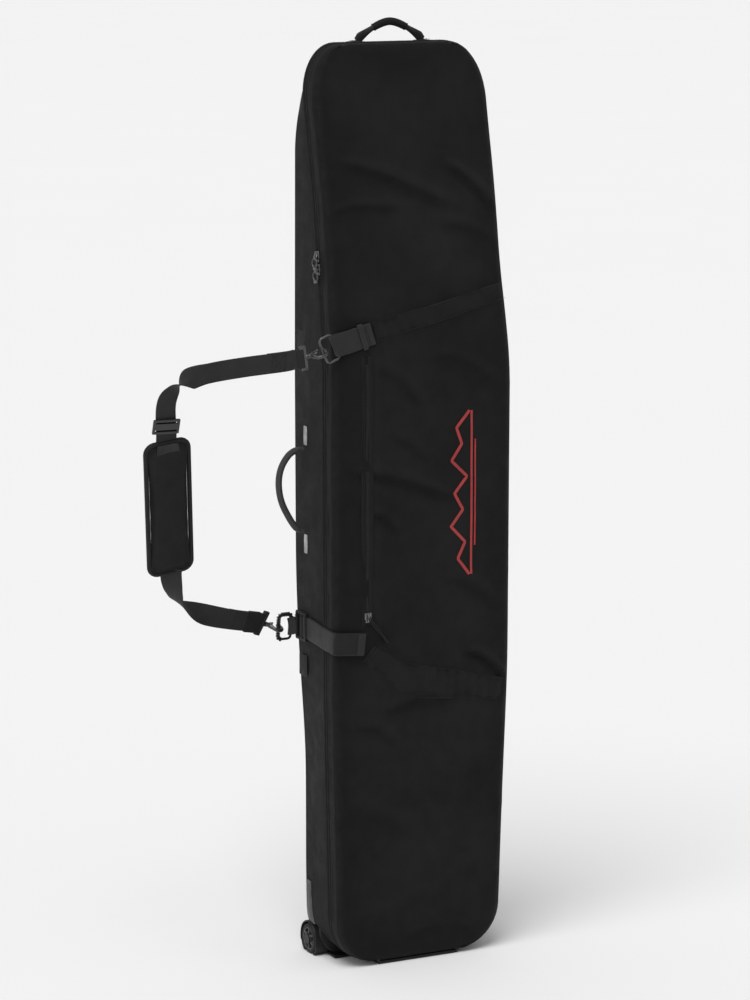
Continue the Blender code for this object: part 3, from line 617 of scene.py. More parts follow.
UPPER_LINE = ((-0.091, 1.1225), (-0.040, 1.135), (0.023, 1.147), (0.082, 1.162), (0.163, 1.181))
LOWER_LINE = ((-0.103, 0.572), (-0.040, 0.519), (0.060, 0.498), (0.162, 0.478))


def panel_relief(x, z, seam):
    """How far the front panel stands out of its flat, in metres, given the distance from the seam."""
    points = np.stack([x, np.zeros_like(x), z], axis=1)
    crown = 0.0045 * (1 - np.exp(-seam / 0.032))
    relief = fold_heights(x, z) + 0.0018 * bumpy(points, 8.0, 3.1) + 0.0005 * bumpy(points, 27.0, 8.2)
    for k in range(len(UPPER_LINE) - 1):
        relief += pucker(x, z, UPPER_LINE[k], UPPER_LINE[k + 1], 0.017, 0.016, 0.0016, 1.3 + k)
    for k in range(len(LOWER_LINE) - 1):
        relief += pucker(x, z, LOWER_LINE[k], LOWER_LINE[k + 1], 0.021, 0.018, 0.0018, 4.1 + k)
    # The straps bind the panel, and the pocket's welt stands up beside its zipper.
    for line, depth in ((UPPER_LINE, 0.0032), (LOWER_LINE, 0.0030)):
        height = np.interp(x, [p[0] for p in line], [p[1] for p in line])
        relief -= depth * np.exp(-((z - height) / 0.024) ** 2) * ease((x + 0.19) / 0.03)
    pocket = ease((z - 0.600) / 0.03) * ease((1.100 - z) / 0.03)
    relief += pocket * (0.0016 * hump(x, -0.0905, 0.006) - 0.0022 * hump(x, -0.108, 0.011))
    return crown + relief * ease(seam / 0.022)


def gusset_relief(points, share, run, seam_waves=True):
    """How far a gusset stands out between its seam (share 0) and the zipper (share 1)."""
    belly = np.sin(np.clip(share, 0, 1) * math.pi)
    streaks = np.sin(run * 41 + 1.3 * np.sin(run * 17)) * 0.5 + np.sin(run * 93 + 2.0) * 0.3
    gather = np.sin(run * 2 * math.pi / 0.019 + 2.2 * np.sin(run * 23)) * np.exp(-share / 0.16)
    return (0.0012 * belly + belly * 0.0009 * streaks * (0.5 + 0.5 * np.sin(run * 5.1))
            + 0.0011 * belly * bumpy(points, 13.0, 5.5) + 0.00045 * gather * (1 if seam_waves else 0))


def loft_shell(panel_y, towards, depths, inset=None, relief=None):
    """A panel and its gusset as one sheet. depths(z) gives the gusset rings' distances from the panel as
    an array (rings, points); towards is +1 where the gusset runs to +Y. Returns verts, faces and the fold values."""
    nx, nz = COLUMNS + 1, len(ROWS)
    z = np.repeat(ROWS, nx)
    u = np.tile(np.linspace(-1, 1, nx), nz)
    half, middle = half_width(z), lean(z)
    pinch = 1.0 if inset is None else 1 - inset(z) / half
    x = middle + u * half * pinch
    grid = np.arange(nx * nz).reshape(nz, nx)
    loop = np.r_[grid[0, :-1], grid[:-1, -1], grid[-1, ::-1][:-1], grid[::-1, 0][:-1]]
    rim = np.stack([x[loop], z[loop]], axis=1)
    seam = np.full(len(x), 1e9)
    for part in np.array_split(np.arange(len(rim)), 6):
        seam = np.minimum(seam, np.sqrt((x[:, None] - rim[part, 0]) ** 2 + (z[:, None] - rim[part, 1]) ** 2).min(axis=1))
    fall = EDGE_ROUND * np.clip(1 - seam / 0.013, 0, 1) ** 2
    stand = relief(x, z, seam)
    y = panel_y(z) + towards * (fall - stand)
    verts = [np.stack([x, y, z], axis=1)]
    # These values go to the fold attribute for painted shade: the panel is painted darker towards its seam and in its
    # fold valleys, and paler on the crests.
    fold_shade = [stand - 0.0045]
    faces = [(a, b, c, d) for a, b, c, d in zip(grid[:-1, :-1].ravel(), grid[:-1, 1:].ravel(),
                                                grid[1:, 1:].ravel(), grid[1:, :-1].ravel())]
    # The rings of the gusset
    full = np.stack([middle[loop] + u[loop] * half[loop], z[loop]], axis=1)
    outward = outward_of(full)
    run = np.r_[0, np.cumsum(np.linalg.norm(np.diff(full, axis=0), axis=1))]
    steps = depths(full[:, 1])
    total = steps[-1]
    previous, start = loop, len(x)
    slant = rim - full
    for depth in steps[1:]:
        share = depth / total
        back = np.clip((total - depth) / (total - 0.012), 0, 1)[:, None]
        roll = -0.0020 * np.exp(-(depth / 0.0032) ** 2) + 0.0004 * ease(depth / 0.008)
        flat = full + slant * back
        points = np.stack([flat[:, 0], panel_y(full[:, 1]) + towards * (depth + EDGE_ROUND * np.exp(-depth / 0.0040)), flat[:, 1]], axis=1)
        puff = gusset_relief(points, share, run) * ease(depth / 0.008) * ease((total - depth) / 0.008)
        points[:, [0, 2]] += outward * (roll + puff)[:, None]
        verts.append(points)
        # Painted shade for the gusset: darker beside the seam and the zipper and in the valleys of its streaks, paler
        # on their crests.
        fold_shade.append(puff - 0.0008)
        ring = np.arange(start, start + len(loop))
        nxt = np.roll(np.arange(len(loop)), -1)
        faces += [(previous[k], ring[k], ring[nxt[k]], previous[nxt[k]]) for k in range(len(loop))]
        previous, start = ring, start + len(loop)
    return np.concatenate(verts), faces, np.concatenate(fold_shade)


def make_sheet(name, verts, faces, fold_shade, body, stands_for, slot, thickness=0.004):
    mesh = bpy.data.meshes.new(name)
    mesh.from_pydata(verts.tolist(), [], [tuple(int(i) for i in f) for f in faces])
    mesh.attributes.new("fold", "FLOAT", "POINT").data.foreach_set("value", fold_shade.astype(np.float32))
    made = dress(name, mesh, [FABRIC, LINING], None, shade=False)
    mesh.shade_smooth()
    solid = made.modifiers.new("padding", "SOLIDIFY")
    solid.thickness, solid.offset, solid.material_offset = thickness, -1.0, 1
    solid.use_even_offset = False
    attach(made, body)
    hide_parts(*stands_for)
    return made


def fixed_rings(values, total):
    """Ring distances: the given ones beside the seam, then even steps to the zipper."""
    even = np.linspace(0, 1, 9)[1:]
    rows = [np.full_like(total, value) for value in values]
    rows += [values[-1] + (total - values[-1]) * share for share in even]
    return np.array(rows)


def make_shells():
    seam_gap = 0.0005
    lid = loft_shell(front_y, 1, lambda z: fixed_rings((0, 0.0008, 0.002, 0.004, 0.007), np.full_like(z, FRONT_GUSSET - seam_gap)),
                     relief=panel_relief)
    make_sheet("lid_fabric", *lid, "lid", ("front_shell",), "shell_fabric")

    def back_relief(x, z, seam):
        points = np.stack([x, np.zeros_like(x), z], axis=1)
        ribs = 0.0016 * hump(np.abs(x), 0.085, 0.006) * ease((z - 0.17) / 0.02) * ease((1.45 - z) / 0.02)
        return 0.0022 * (1 - np.exp(-seam / 0.03)) + (0.0011 * bumpy(points, 8.0, 21.0) + 0.0004 * bumpy(points, 29.0, 2.0)
                                                      + ribs) * ease(seam / 0.02)

    tray = loft_shell(lambda z: np.full_like(np.asarray(z, float), BACK_Y), -1,
                      lambda z: fixed_rings((0, 0.0008, 0.002, 0.004, 0.007, 0.011), BACK_Y - split_y(z) - seam_gap),
                      inset=lambda z: read(BACK_INSETS, z), relief=back_relief)
    # The fabric is pressed in round each wheel's well.
    verts, faces, fold_shade = tray
    for side in (-1, 1):
        out = (verts[:, 0] - BASE_X) * side
        reach = np.hypot(verts[:, 1] - WHEEL_Y, verts[:, 2] - WHEEL_RADIUS)
        pressed = ease((0.0410 - reach) / 0.0045) * (out > 0.05)
        verts[:, 0] -= side * pressed * np.maximum(out - 0.1270, 0.0)
    make_sheet("tray_fabric", verts, faces, fold_shade, "tray", ("back_shell",), "shell_fabric")


def apply_modifiers(made):
    graph = bpy.context.evaluated_depsgraph_get()
    mesh = bpy.data.meshes.new_from_object(made.evaluated_get(graph))
    made.modifiers.clear()
    made.data = mesh

# ---- zippers, hinge and stitching ---------------------------------------------------------------


def zip_line():
    """The main zipper's dense route as (x, z), outward directions, from the hinge line's top round to its foot."""
    points = outline(0.0024)
    outward = outward_of(points)
    start = int(np.argmin(np.linalg.norm(points - [0.170, HINGE_HIGH], axis=1)))
    points, outward = np.roll(points, -start, axis=0), np.roll(outward, -start, axis=0)
    hinge = (points[:, 0] > 0) & (points[:, 1] > HINGE_LOW) & (points[:, 1] < HINGE_HIGH)
    return points[~hinge], outward[~hinge], points[hinge], outward[hinge]


def gusset_point(points, outward, offset_y, lift):
    """Points on the gusset, offset from the middle of the zipper towards +Y and lifted off the side."""
    lifted = points + outward * lift
    return np.stack([lifted[:, 0], split_y(points[:, 1]) + offset_y, lifted[:, 1]], axis=1)


class Thread:
    """Stitches, gathered into one mesh per body."""

    def __init__(self, length=0.0030, gap=0.0016, radius=0.00038):
        self.soup, self.length, self.gap, self.radius = Soup(), length, gap, radius

    def line(self, points, facing, lift=0.0002):
        points = resample(points, self.length + self.gap)
        facing = np.broadcast_to(np.asarray(facing, float), points.shape) if np.ndim(facing) == 1 else \
            resample(facing, 1)[:0] if False else np.asarray(facing, float)
        if len(facing) != len(points):
            at = np.linspace(0, len(facing) - 1, len(points))
            facing = np.stack([np.interp(at, np.arange(len(facing)), facing[:, k]) for k in range(3)], axis=1)
        along = tangents(points)
        across = unit(np.cross(along, facing))
        up = np.cross(across, along)
        ring = [(-0.5, 0.35), (-0.2, 1.0), (0.2, 1.0), (0.5, 0.35)]
        for p, a, c, n in zip(points, along, across, up):
            verts = [p + n * lift + a * s * self.length + (c * math.cos(t) + n * math.sin(t)) * r * self.radius
                     for s, r in ring for t in (0, math.pi / 2, math.pi, 1.5 * math.pi)]
            faces = [(k * 4 + j, k * 4 + (j + 1) % 4, k * 4 + 4 + (j + 1) % 4, k * 4 + 4 + j) for k in range(3) for j in range(4)]
            self.soup.add(verts, faces + [(3, 2, 1, 0), (12, 13, 14, 15)])
        return self

    def piece(self, name, body):
        return self.soup.piece(name, THREAD, body, clean=False)


THREADS = {}


def thread(body):
    return THREADS.setdefault(body, Thread())


def teeth(points, outward, offset_y, lift, size):
    """A coil's turns along the zipper, as small rounded bars lying across it."""
    soup = Soup()
    middle = gusset_point(points, outward, offset_y, lift)
    along = tangents(middle)
    out = np.stack([outward[:, 0], np.zeros(len(outward)), outward[:, 1]], axis=1)
    across = unit(np.cross(along, out))
    wide, tall, long = size
    corners = [(-1, 0.0, -0.5), (-0.8, 1.0, -0.35), (0.8, 1.0, -0.35), (1, 0.0, -0.5),
               (-1, 0.0, 0.5), (-0.8, 1.0, 0.35), (0.8, 1.0, 0.35), (1, 0.0, 0.5)]
    faces = [(0, 1, 2, 3), (7, 6, 5, 4), (0, 4, 5, 1), (1, 5, 6, 2), (2, 6, 7, 3), (3, 7, 4, 0)]
    for p, a, n, c in zip(middle, along, out, across):
        soup.add([p + c * x * wide + n * y * tall + a * z * long for x, y, z in corners], faces)
    return soup


def make_main_zipper():
    points, outward, hinge, hinge_outward = zip_line()
    for body, side, node in (("lid", -1, "zip_tape_lid"), ("tray", 1, "zip_tape_tray")):
        path = gusset_point(points, outward, side * 0.0063, 0.0012)[::2]
        out = np.stack([outward[:, 0], np.zeros(len(outward)), outward[:, 1]], axis=1)
        soup = Soup().sweep(path, np.broadcast_to(vec(0, 1, 0), path.shape), webbing_profile(0.0100, 0.0014))
        soup.piece(f"zipper_{body}", TAPE, body, "zipper", (node,))
        # a folded fabric lip covers most of the coil
        lip = gusset_point(points, outward, side * 0.0041, 0.0022)[::2]
        Soup().sweep(lip, np.broadcast_to(vec(0, 1, 0), lip.shape), webbing_profile(0.0052, 0.0013)).piece(
            f"zipper_lip_{body}", SLEEVE, body, "shell_fabric")
        teeth(points, outward, side * 0.0010, 0.0009, (0.0009, 0.0011, 0.0015)).piece(
            f"zipper_coil_{body}", COIL, body, "zipper", shade=False)
        thread(body).line(gusset_point(points, outward, side * 0.0092, 0.0021), out)
        thread(body).line(gusset_point(points, outward, side * 0.0058, 0.0029), out)
    # The hinge side: a fabric strip bound along both edges, between the shells
    path = gusset_point(hinge, hinge_outward, 0.0, 0.0022)[::2]
    strip = np.linspace(-0.0115, 0.0115, 13)
    thick = 0.0011
    profile = np.array([(a, thick * (1.0 - 0.6 * (abs(a) > 0.0110))) for a in strip]
                       + [(a, -thick) for a in strip[::-1]])
    soup = Soup().sweep(path, np.broadcast_to(vec(0, 1, 0), path.shape), profile)
    middle = split_y(0.8)
    made = soup.piece("hinge_strip", STRAP, None, "webbing", ("hinge_binding",))
    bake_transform(made)
    out = np.stack([hinge_outward[:, 0], np.zeros(len(hinge)), hinge_outward[:, 1]], axis=1)


# ---- webbing straps ------------------------------------------------------------------------------


def front_strip(route, widths, lift, lead=None, step=0.004):
    """Centre line, across directions and widths of a strip that lies on the front panel."""
    flat = resample(smooth(route, 8), step)
    if lead is not None:
        flat = np.vstack([lead, flat])
    along = tangents(flat)
    share = np.linspace(0, 1, len(flat))
    wide = np.interp(share, np.linspace(0, 1, len(widths)), widths)
    y = front_y(flat[:, 1]) - lift
    edge = lean(flat[:, 1]) + half_width(flat[:, 1]) - flat[:, 0]
    y = y + EDGE_ROUND * np.clip(1 - edge / 0.016, 0, 1) ** 2
    path = np.stack([flat[:, 0], y, flat[:, 1]], axis=1)
    across = np.stack([-along[:, 1], np.zeros(len(flat)), along[:, 0]], axis=1)
    slope = np.gradient(front_y(flat[:, 1] + np.linspace(-1, 1, len(flat)) * 0))
    across[:, 1] = (front_y(flat[:, 1] + 0.01) - front_y(flat[:, 1] - 0.01)) / 0.02 * across[:, 2]
    return path, unit(across), wide


def strap_section(wide, thick, waves=None):
    """One section per point of a strap whose width changes along it."""
    base = webbing_profile(1.0, thick)
    flat = np.sign(base[:, 0]) * np.maximum(np.abs(base[:, 0]), 0)
    sections = []
    for w in wide:
        section = webbing_profile(w, thick)
        sections.append(section)
    return np.array(sections)


def box_stitch(body, origin, along, across, facing, long, wide):
    """A sewn rectangle with a cross in it."""
    corners = [origin + along * a * long / 2 + across * c * wide / 2 for a, c in ((-1, -1), (1, -1), (1, 1), (-1, 1))]
    for start, end in ((0, 1), (1, 2), (2, 3), (3, 0), (0, 2), (1, 3)):
        thread(body).line(np.array([corners[start], corners[end]]), facing)


def loop_round(centre, bar, radius, leave, length, gap=0.0):
    """Points of webbing that comes from `leave`, goes round a bar and returns behind itself."""
    leave, bar = unit(leave), unit(bar)
    up = np.cross(bar, leave)
    points = [centre + leave * length + up * radius]
    for angle in np.linspace(90, 270, 11):
        a = math.radians(angle)
        points.append(centre + leave * math.cos(a) * radius + up * math.sin(a) * radius)
    points.append(centre + leave * length * 0.85 - up * radius)
    return np.array(points)


def make_upper_strap():
    """The webbing that holds the upper ring, its keeper, and the sleeve that goes on to the far seam."""
    bar = np.array(RING_BAR["upper"])
    bar = bar if bar[2] > 0 else -bar
    ring = np.array(RING_UPPER)
    path, across, wide = front_strip(((-0.1520, 1.1068), (-0.138, 1.1100), (-0.097, 1.121)), (WEBBING, WEBBING), 0.0050)
    # the front layer goes round the ring's bar and comes back under itself
    turn = []
    for angle in np.linspace(80, 265, 12):
        a = math.radians(angle)
        turn.append(ring + vec(1, 0, 0.27) * 0.0041 * math.cos(a) + vec(0, -1, 0) * 0.0041 * math.sin(a))
    back = path[3:14] + vec(0, 0.0026, 0)
    full = np.vstack([path[::-1], np.array(turn), back])
    across_full = np.vstack([across[::-1], np.repeat(bar[None], len(turn), axis=0), across[3:14]])
    for _ in range(3):
        full[1:-1] = full[1:-1] * 0.6 + (full[:-2] + full[2:]) * 0.2
        across_full[1:-1] = unit(across_full[1:-1] * 0.5 + (across_full[:-2] + across_full[2:]) * 0.25)
    soup = Soup().sweep(full, across_full, webbing_profile(WEBBING, 0.0020))
    # the keeper: a narrow loop of the same webbing, sewn over both layers
    k = len(path) * 5 // 8
    centre, side = path[k], across[k]
    along = tangents(path)[k]
    out = np.cross(along, side)
    out = out if out[1] < 0 else -out
    half = WEBBING / 2 + 0.0022
    hoop = [centre + side * half * c + out * h for c, h in ((-1.0, -0.002), (-1.03, 0.0008), (-0.96, 0.0024), (-0.5, 0.0031),
            (0, 0.0033), (0.5, 0.0031), (0.96, 0.0024), (1.03, 0.0008), (1.0, -0.002))]
    soup.sweep(smooth(hoop, 3), along, webbing_profile(0.0095, 0.0015))
    soup.piece("strap_upper", STRAP, "lid", "webbing", ("compression_strap_upper", "strap_keeper_upper"))
    start = path[4]
    box_stitch("lid", path[10] + out * 0.0014, along, side, out, 0.014, 0.030)
    sleeve, cross, wide = front_strip(sleeve_line(UPPER_LINE), (0.036, 0.034, 0.032, 0.031, 0.030), 0.0030)
    make_sleeve("sleeve_upper", sleeve, cross, wide, "strap_sleeve_upper", 1.0)


def sleeve_line(route):
    """The sleeve's route, stopped just short of the far seam."""
    (x0, z0), (x1, z1) = route[-2:]
    share = 0.93
    return (*route[:-1], (x0 + (x1 - x0) * share, z0 + (z1 - z0) * share))


def make_sleeve(name, path, across, wide, node, seed):
    """A flat fabric sleeve over a strap: slightly gathered, fuller in its middle, sewn down both edges."""
    n, m = len(path), 17
    share = np.linspace(-1, 1, m)
    along = tangents(path)
    out = unit(np.cross(along, across))
    out = np.where(out[:, 1:2] > 0, -out, out)
    run = np.r_[0, np.cumsum(np.linalg.norm(np.diff(path, axis=0), axis=1))]
    verts, lay, fold_shade = [], [], []
    for k in range(n):
        phase = run[k] * 2 * math.pi / 0.019 + seed + 1.8 * math.sin(run[k] * 31 + seed)
        ends = float(ease(k / 4.0) * ease((n - 1 - k) / 3.0))
        for s in share:
            gather = (math.sin(phase + 1.3 * s) * (0.45 + 0.55 * math.sin(run[k] * 24 + seed + s))
                      + 0.7 * math.sin(run[k] * 77 + 2.1 * s + seed)) * (0.30 + 0.55 * abs(s) ** 0.7)
            fold = 0.0013 * gather * (1 - 0.5 * s ** 6)
            dome = (1 - s ** 4) * 0.0022 + fold
            verts.append(path[k] + across[k] * s * wide[k] / 2 * (1 + 0.02 * gather) + out[k] * (dome * (0.35 + 0.65 * ends) - 0.0014))
            lay.append((s * wide[k] / 2, run[k], 0))
            # Painted shade, through the fold attribute: darker in the gathers' valleys and along both edges of the
            # sleeve, paler on the crests.
            fold_shade.append(fold - 0.0022 * s ** 8)
    faces = [(k * m + j, k * m + j + 1, (k + 1) * m + j + 1, (k + 1) * m + j) for k in range(n - 1) for j in range(m - 1)]
    made = Soup().add(verts, faces, lay).piece(name, SLEEVE, "lid", "shell_fabric", (node,), clean=False)
    made.data.attributes.new("fold", "FLOAT", "POINT").data.foreach_set("value", np.array(fold_shade, np.float32))
    solid = made.modifiers.new("cloth", "SOLIDIFY")
    solid.thickness, solid.offset = 0.0016, -1 if made.data.polygons[0].normal.y < 0 else 1
    for s in (-0.90, 0.90):
        thread("lid").line(path + across * (s * wide / 2)[:, None] + out * 0.0010, out)
    for k in (2, n - 3):
        ends = np.linspace(-0.8, 0.8, 9)
        thread("lid").line(np.array([path[k] + across[k] * s * wide[k] / 2 + out[k] * 0.0013 for s in ends]), out[k])


def make_lower_strap():
    """From the ladder lock across the gusset, round the front edge and on to its sewn end."""
    side = float(-half_width(0.59) + lean(0.59)) - 0.0038
    face = float(front_y(0.60)) - 0.0052
    route = [(side + 0.0006, 0.052, 0.6005), (side - 0.0010, 0.040, 0.600), (side - 0.0004, 0.020, 0.599), (side, -0.010, 0.597), (side, -0.040, 0.594),
             (side + 0.0006, face + 0.010, 0.592), (side + 0.0032, face + 0.0032, 0.591), (side + 0.010, face + 0.0004, 0.590),
             (-0.150, face, 0.589), (-0.130, face - 0.0004, 0.5875), (-0.116, face, 0.586)]
    path = resample(smooth(route, 8), 0.0022)
    across = np.broadcast_to(vec(0, 0, 1), path.shape)
    soup = Soup().sweep(path, across, webbing_profile(WEBBING, 0.0022))
    # A very dark strip, slightly wider than the strap, laid under it and set a little higher and towards its end, so
    # that a dark edge shows along the strap's top and past its end.
    dark_edge_path = path[16:] + unit(np.cross(tangents(path)[16:], vec(0, 0, 1))) * 0.0014 + vec(0.0012, 0, 0.0016)
    Soup().sweep(dark_edge_path, across[16:], webbing_profile(WEBBING + 0.0010, 0.0014)).piece("strap_lower_dark_edge", BINDING, "lid", "webbing")
    # the tail is folded twice and sewn: a thicker hem
    hem = path[-7:] + vec(0, -0.0019, 0)
    soup.sweep(hem, across[-7:], webbing_profile(WEBBING - 0.0006, 0.0018))
    soup.piece("strap_lower", STRAP, "lid", "webbing", ("compression_strap_lower",))
    for x in (-0.1305, -0.1190):
        thread("lid").line(np.array([(x, face - (0.0030 if x > -0.125 else 0.0012), 0.586 + h) for h in (-0.017, 0.0, 0.017)]), vec(0, -1, 0))
    ends = [i for i in range(len(path)) if path[i][1] > -0.03]
    for s in (-0.0165, 0.0165):
        thread("lid").line(path[14:-8] + vec(0, 0, s) + unit(np.cross(tangents(path)[14:-8], vec(0, 0, 1))) * -0.0012,
                           unit(np.cross(tangents(path)[14:-8], vec(0, 0, 1))) * -1)
    sleeve, cross, wide = front_strip(sleeve_line(LOWER_LINE), (0.042, 0.064, 0.054, 0.040), 0.0030)
    make_sleeve("sleeve_lower", sleeve, cross, wide, "strap_sleeve_lower", 2.6)
    # the ladder lock: a frame with two bars and a lifting lip
    x, y, z = side - 0.0010, 0.0425, 0.600
    lock = Soup()
    for dz in (-0.0225, 0.0225):
        lock.block((0.0055, 0.040, 0.0055), Matrix.Translation((x, y, z + dz)), 0.0016)
    for dy, thick in ((-0.0170, 0.0055), (-0.002, 0.0046), (0.0165, 0.0065)):
        lock.block((thick, 0.0060, 0.047), Matrix.Translation((x - 0.0004, y + dy, z)), 0.0018)
    for dz in np.linspace(-0.016, 0.016, 7):
        lock.block((0.0022, 0.0075, 0.0022), Matrix.Translation((x - 0.0030, y + 0.0168, z + float(dz))), 0.0008)
    lock.piece("ladder_lock", PLASTIC, "lid", "moulded_plastic", ("ladder_lock_lower",))


# ---- pocket --------------------------------------------------------------------------------------


def make_pocket():
    x0, low, high = -0.108, 0.618, 1.082
    z = np.linspace(low, high, 150)
    soup, face = Soup(), front_y(z)
    path = np.stack([np.full_like(z, x0), face - 0.0006, z], axis=1)
    soup.sweep(path, np.broadcast_to(vec(1, 0, 0), path.shape), webbing_profile(0.022, 0.0012))
    soup.piece("pocket_tape", TAPE, "lid", "zipper", ("pocket_zip_tape",))
    coil = Soup()
    for side in (-1, 1):
        for k in range(int((high - low - 0.03) / 0.0024)):
            at = low + 0.02 + k * 0.0024
            coil.block((0.0021, 0.0011, 0.0014), Matrix.Translation((x0 + side * 0.0012, float(front_y(at)) - 0.0016, at)), 0)
    coil.piece("pocket_coil", COIL, "lid", "zipper", shade=False)
    # welts: rolled fabric lips each side of the coil
    welt = Soup()
    for side, height in ((-1, 0.0012), (1, 0.0026)):
        lip = path + np.stack([np.full_like(z, side * 0.0068), -0.0006 - 0.0002 * np.sin(z * 70), np.zeros_like(z)], axis=1)
        turn = np.arange(12) * 2 * math.pi / 12
        profile = np.stack([np.cos(turn) * (0.0040 if side < 0 else 0.0056), np.sin(turn) * height], axis=1)
        welt.sweep(lip, np.broadcast_to(vec(1, 0, 0), path.shape), profile)
        thread("lid").line(path + vec(side * 0.0098, -0.0016, 0), vec(0, -1, 0))
    welt.piece("pocket_welt", SLEEVE, "lid", "shell_fabric")
    for at in (low + 0.004, high - 0.004):
        thread("lid").line(np.array([(x0 - 0.010, float(front_y(at)) - 0.0019, at), (x0 + 0.010, float(front_y(at)) - 0.0019, at)]), vec(0, -1, 0))
    # the pouch hangs inside the panel
    gx, gz = np.meshgrid(np.linspace(-0.094, 0.149, 40), np.linspace(0.641, 0.999, 56))
    flat = np.stack([gx.ravel(), gz.ravel()], axis=1)
    points = np.stack([flat[:, 0], np.zeros(len(flat)), flat[:, 1]], axis=1)
    edge = np.minimum(np.minimum(gx - gx.min(), gx.max() - gx), np.minimum(gz - gz.min(), gz.max() - gz)).ravel()
    points[:, 1] = float(front_y(0.8)) + 0.0062 + ease(edge / 0.03) * (0.0016 + 0.0014 * bumpy(points, 14.0, 9.0))
    n = 40
    faces = [(j * n + i, j * n + i + 1, (j + 1) * n + i + 1, (j + 1) * n + i) for j in range(55) for i in range(39)]
    pouch = Soup().add(points, faces).piece("pocket_pouch_cloth", LINING, "lid", "shell_fabric", ("pocket_pouch",))
    solid = pouch.modifiers.new("cloth", "SOLIDIFY")
    solid.thickness, solid.offset = 0.0010, 0


def slider_body(soup, place, size=(0.005, 0.012, 0.018)):
    """A zip slider: shield, bridge over it and a flared nose. X is outward, Y across, Z along."""
    thick, wide, tall = size
    soup.block((thick * 0.45, wide, tall * 0.62), place @ Matrix.Translation((-thick * 0.22, 0, tall * 0.16)), 0.0010)
    soup.block((thick * 0.45, wide * 0.72, tall * 0.45), place @ Matrix.Translation((-thick * 0.22, 0, -tall * 0.22)), 0.0009)
    arch = [(-thick * 0.1, 0, -tall * 0.36), (thick * 0.42, 0, -tall * 0.30), (thick * 0.56, 0, 0), (thick * 0.42, 0, tall * 0.30), (-thick * 0.1, 0, tall * 0.38)]
    path = smooth(arch, 5) @ np.array(place.to_3x3()).T + np.array(place.translation)
    soup.sweep(path, np.array(place.to_3x3() @ Vector((0, 1, 0))), np.array([(a * 0.0022, b * 0.0008) for a, b in
               ((-1, -0.6), (-1, 0.6), (-0.6, 1), (0.6, 1), (1, 0.6), (1, -0.6), (0.6, -1), (-0.6, -1))]))
    return soup


def make_sliders():
    for label in ("upper", "lower"):
        low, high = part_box(f"main_slider_{label}")
        centre = (low + high) / 2
        z = centre.z
        ahead, behind = (vec(float(lean(h) - half_width(h)), float(split_y(h)), h) for h in (z + 0.05, z - 0.05))
        along = Vector(ahead - behind).normalized()
        out = along.cross(Vector((0, 1, 0))).normalized()
        out = out if out.x < 0 else -out
        across = along.cross(out)
        place = frame_matrix(centre + out * 0.0006, out, across, along)
        slider_body(Soup(), place, (0.0056, 0.0150, 0.0200)).piece(
            f"slider_{label}", BRIGHT, f"main_slider_{label}", "zipper_metal", (f"main_slider_{label}",))
        low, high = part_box(f"main_puller_{label}")
        hang = frame_matrix((low + high) / 2 + out * 0.0005, out, across, along)
        pull = Soup()
        # a ring-ended metal tab; the two meet so that a lock can go through both
        ring = [(0.0010 * math.cos(2 * a), 0.0088 * math.cos(a), -0.0020 + 0.0084 * math.sin(a)) for a in np.linspace(0, 2 * math.pi, 33)[:-1]]
        rotated = np.array(ring) @ np.array(hang.to_3x3()).T + np.array(hang.translation)
        pull.tube(rotated, 0.0016, closed=True, sides=8)
        pull.block((0.0017, 0.0064, 0.0075), hang @ Matrix.Translation((0, 0, 0.0072)), 0.0006)
        pull.block((0.0030, 0.0130, 0.0062), hang @ Matrix.Translation((0.0005, 0, -0.0112)), 0.0012)
        pull.piece(f"puller_{label}", RING_METAL, f"main_puller_{label}", "zipper_metal", (f"main_puller_{label}",))
    low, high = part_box("pocket_slider")
    centre = (low + high) / 2
    place = frame_matrix(centre, Vector((0, -1, 0)), Vector((1, 0, 0)), Vector((0, 0, 1)))
    slider_body(Soup(), place, (0.0056, 0.0130, 0.0190)).piece("pocket_slider_body", BRIGHT, "pocket_slider", "zipper_metal", ("pocket_slider",))
    low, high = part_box("pocket_puller")
    top = Vector(((low.x + high.x) / 2, (low.y + high.y) / 2, high.z))
    pull = Soup()
    cord = smooth([top + Vector(p) for p in ((0, 0, 0.002), (0.004, -0.0010, -0.006), (0.012, -0.0012, -0.016), (0.020, -0.0008, -0.026))], 5)
    for side in (-1, 1):
        pull.tube(cord + vec(side * 0.0014, 0, side * 0.0011), 0.0011, sides=8)
    tip = np.array(smooth([top + Vector(p) for p in ((0.019, -0.0008, -0.0245), (0.027, -0.0006, -0.035), (0.035, 0.0, -0.046))], 6))
    radius = np.interp(np.linspace(0, 1, len(tip)), (0, 0.12, 0.5, 0.9, 1), (0.0016, 0.0036, 0.0042, 0.0038, 0.0018))
    pull.tube(tip, radius, sides=12, flat=0.55)
    pull.piece("pocket_pull_cord", PLASTIC, "pocket_puller", "zipper_metal", ("pocket_puller",))


# ---- the printed motif: a plain ridge line, not a mark ---------------------------------------------


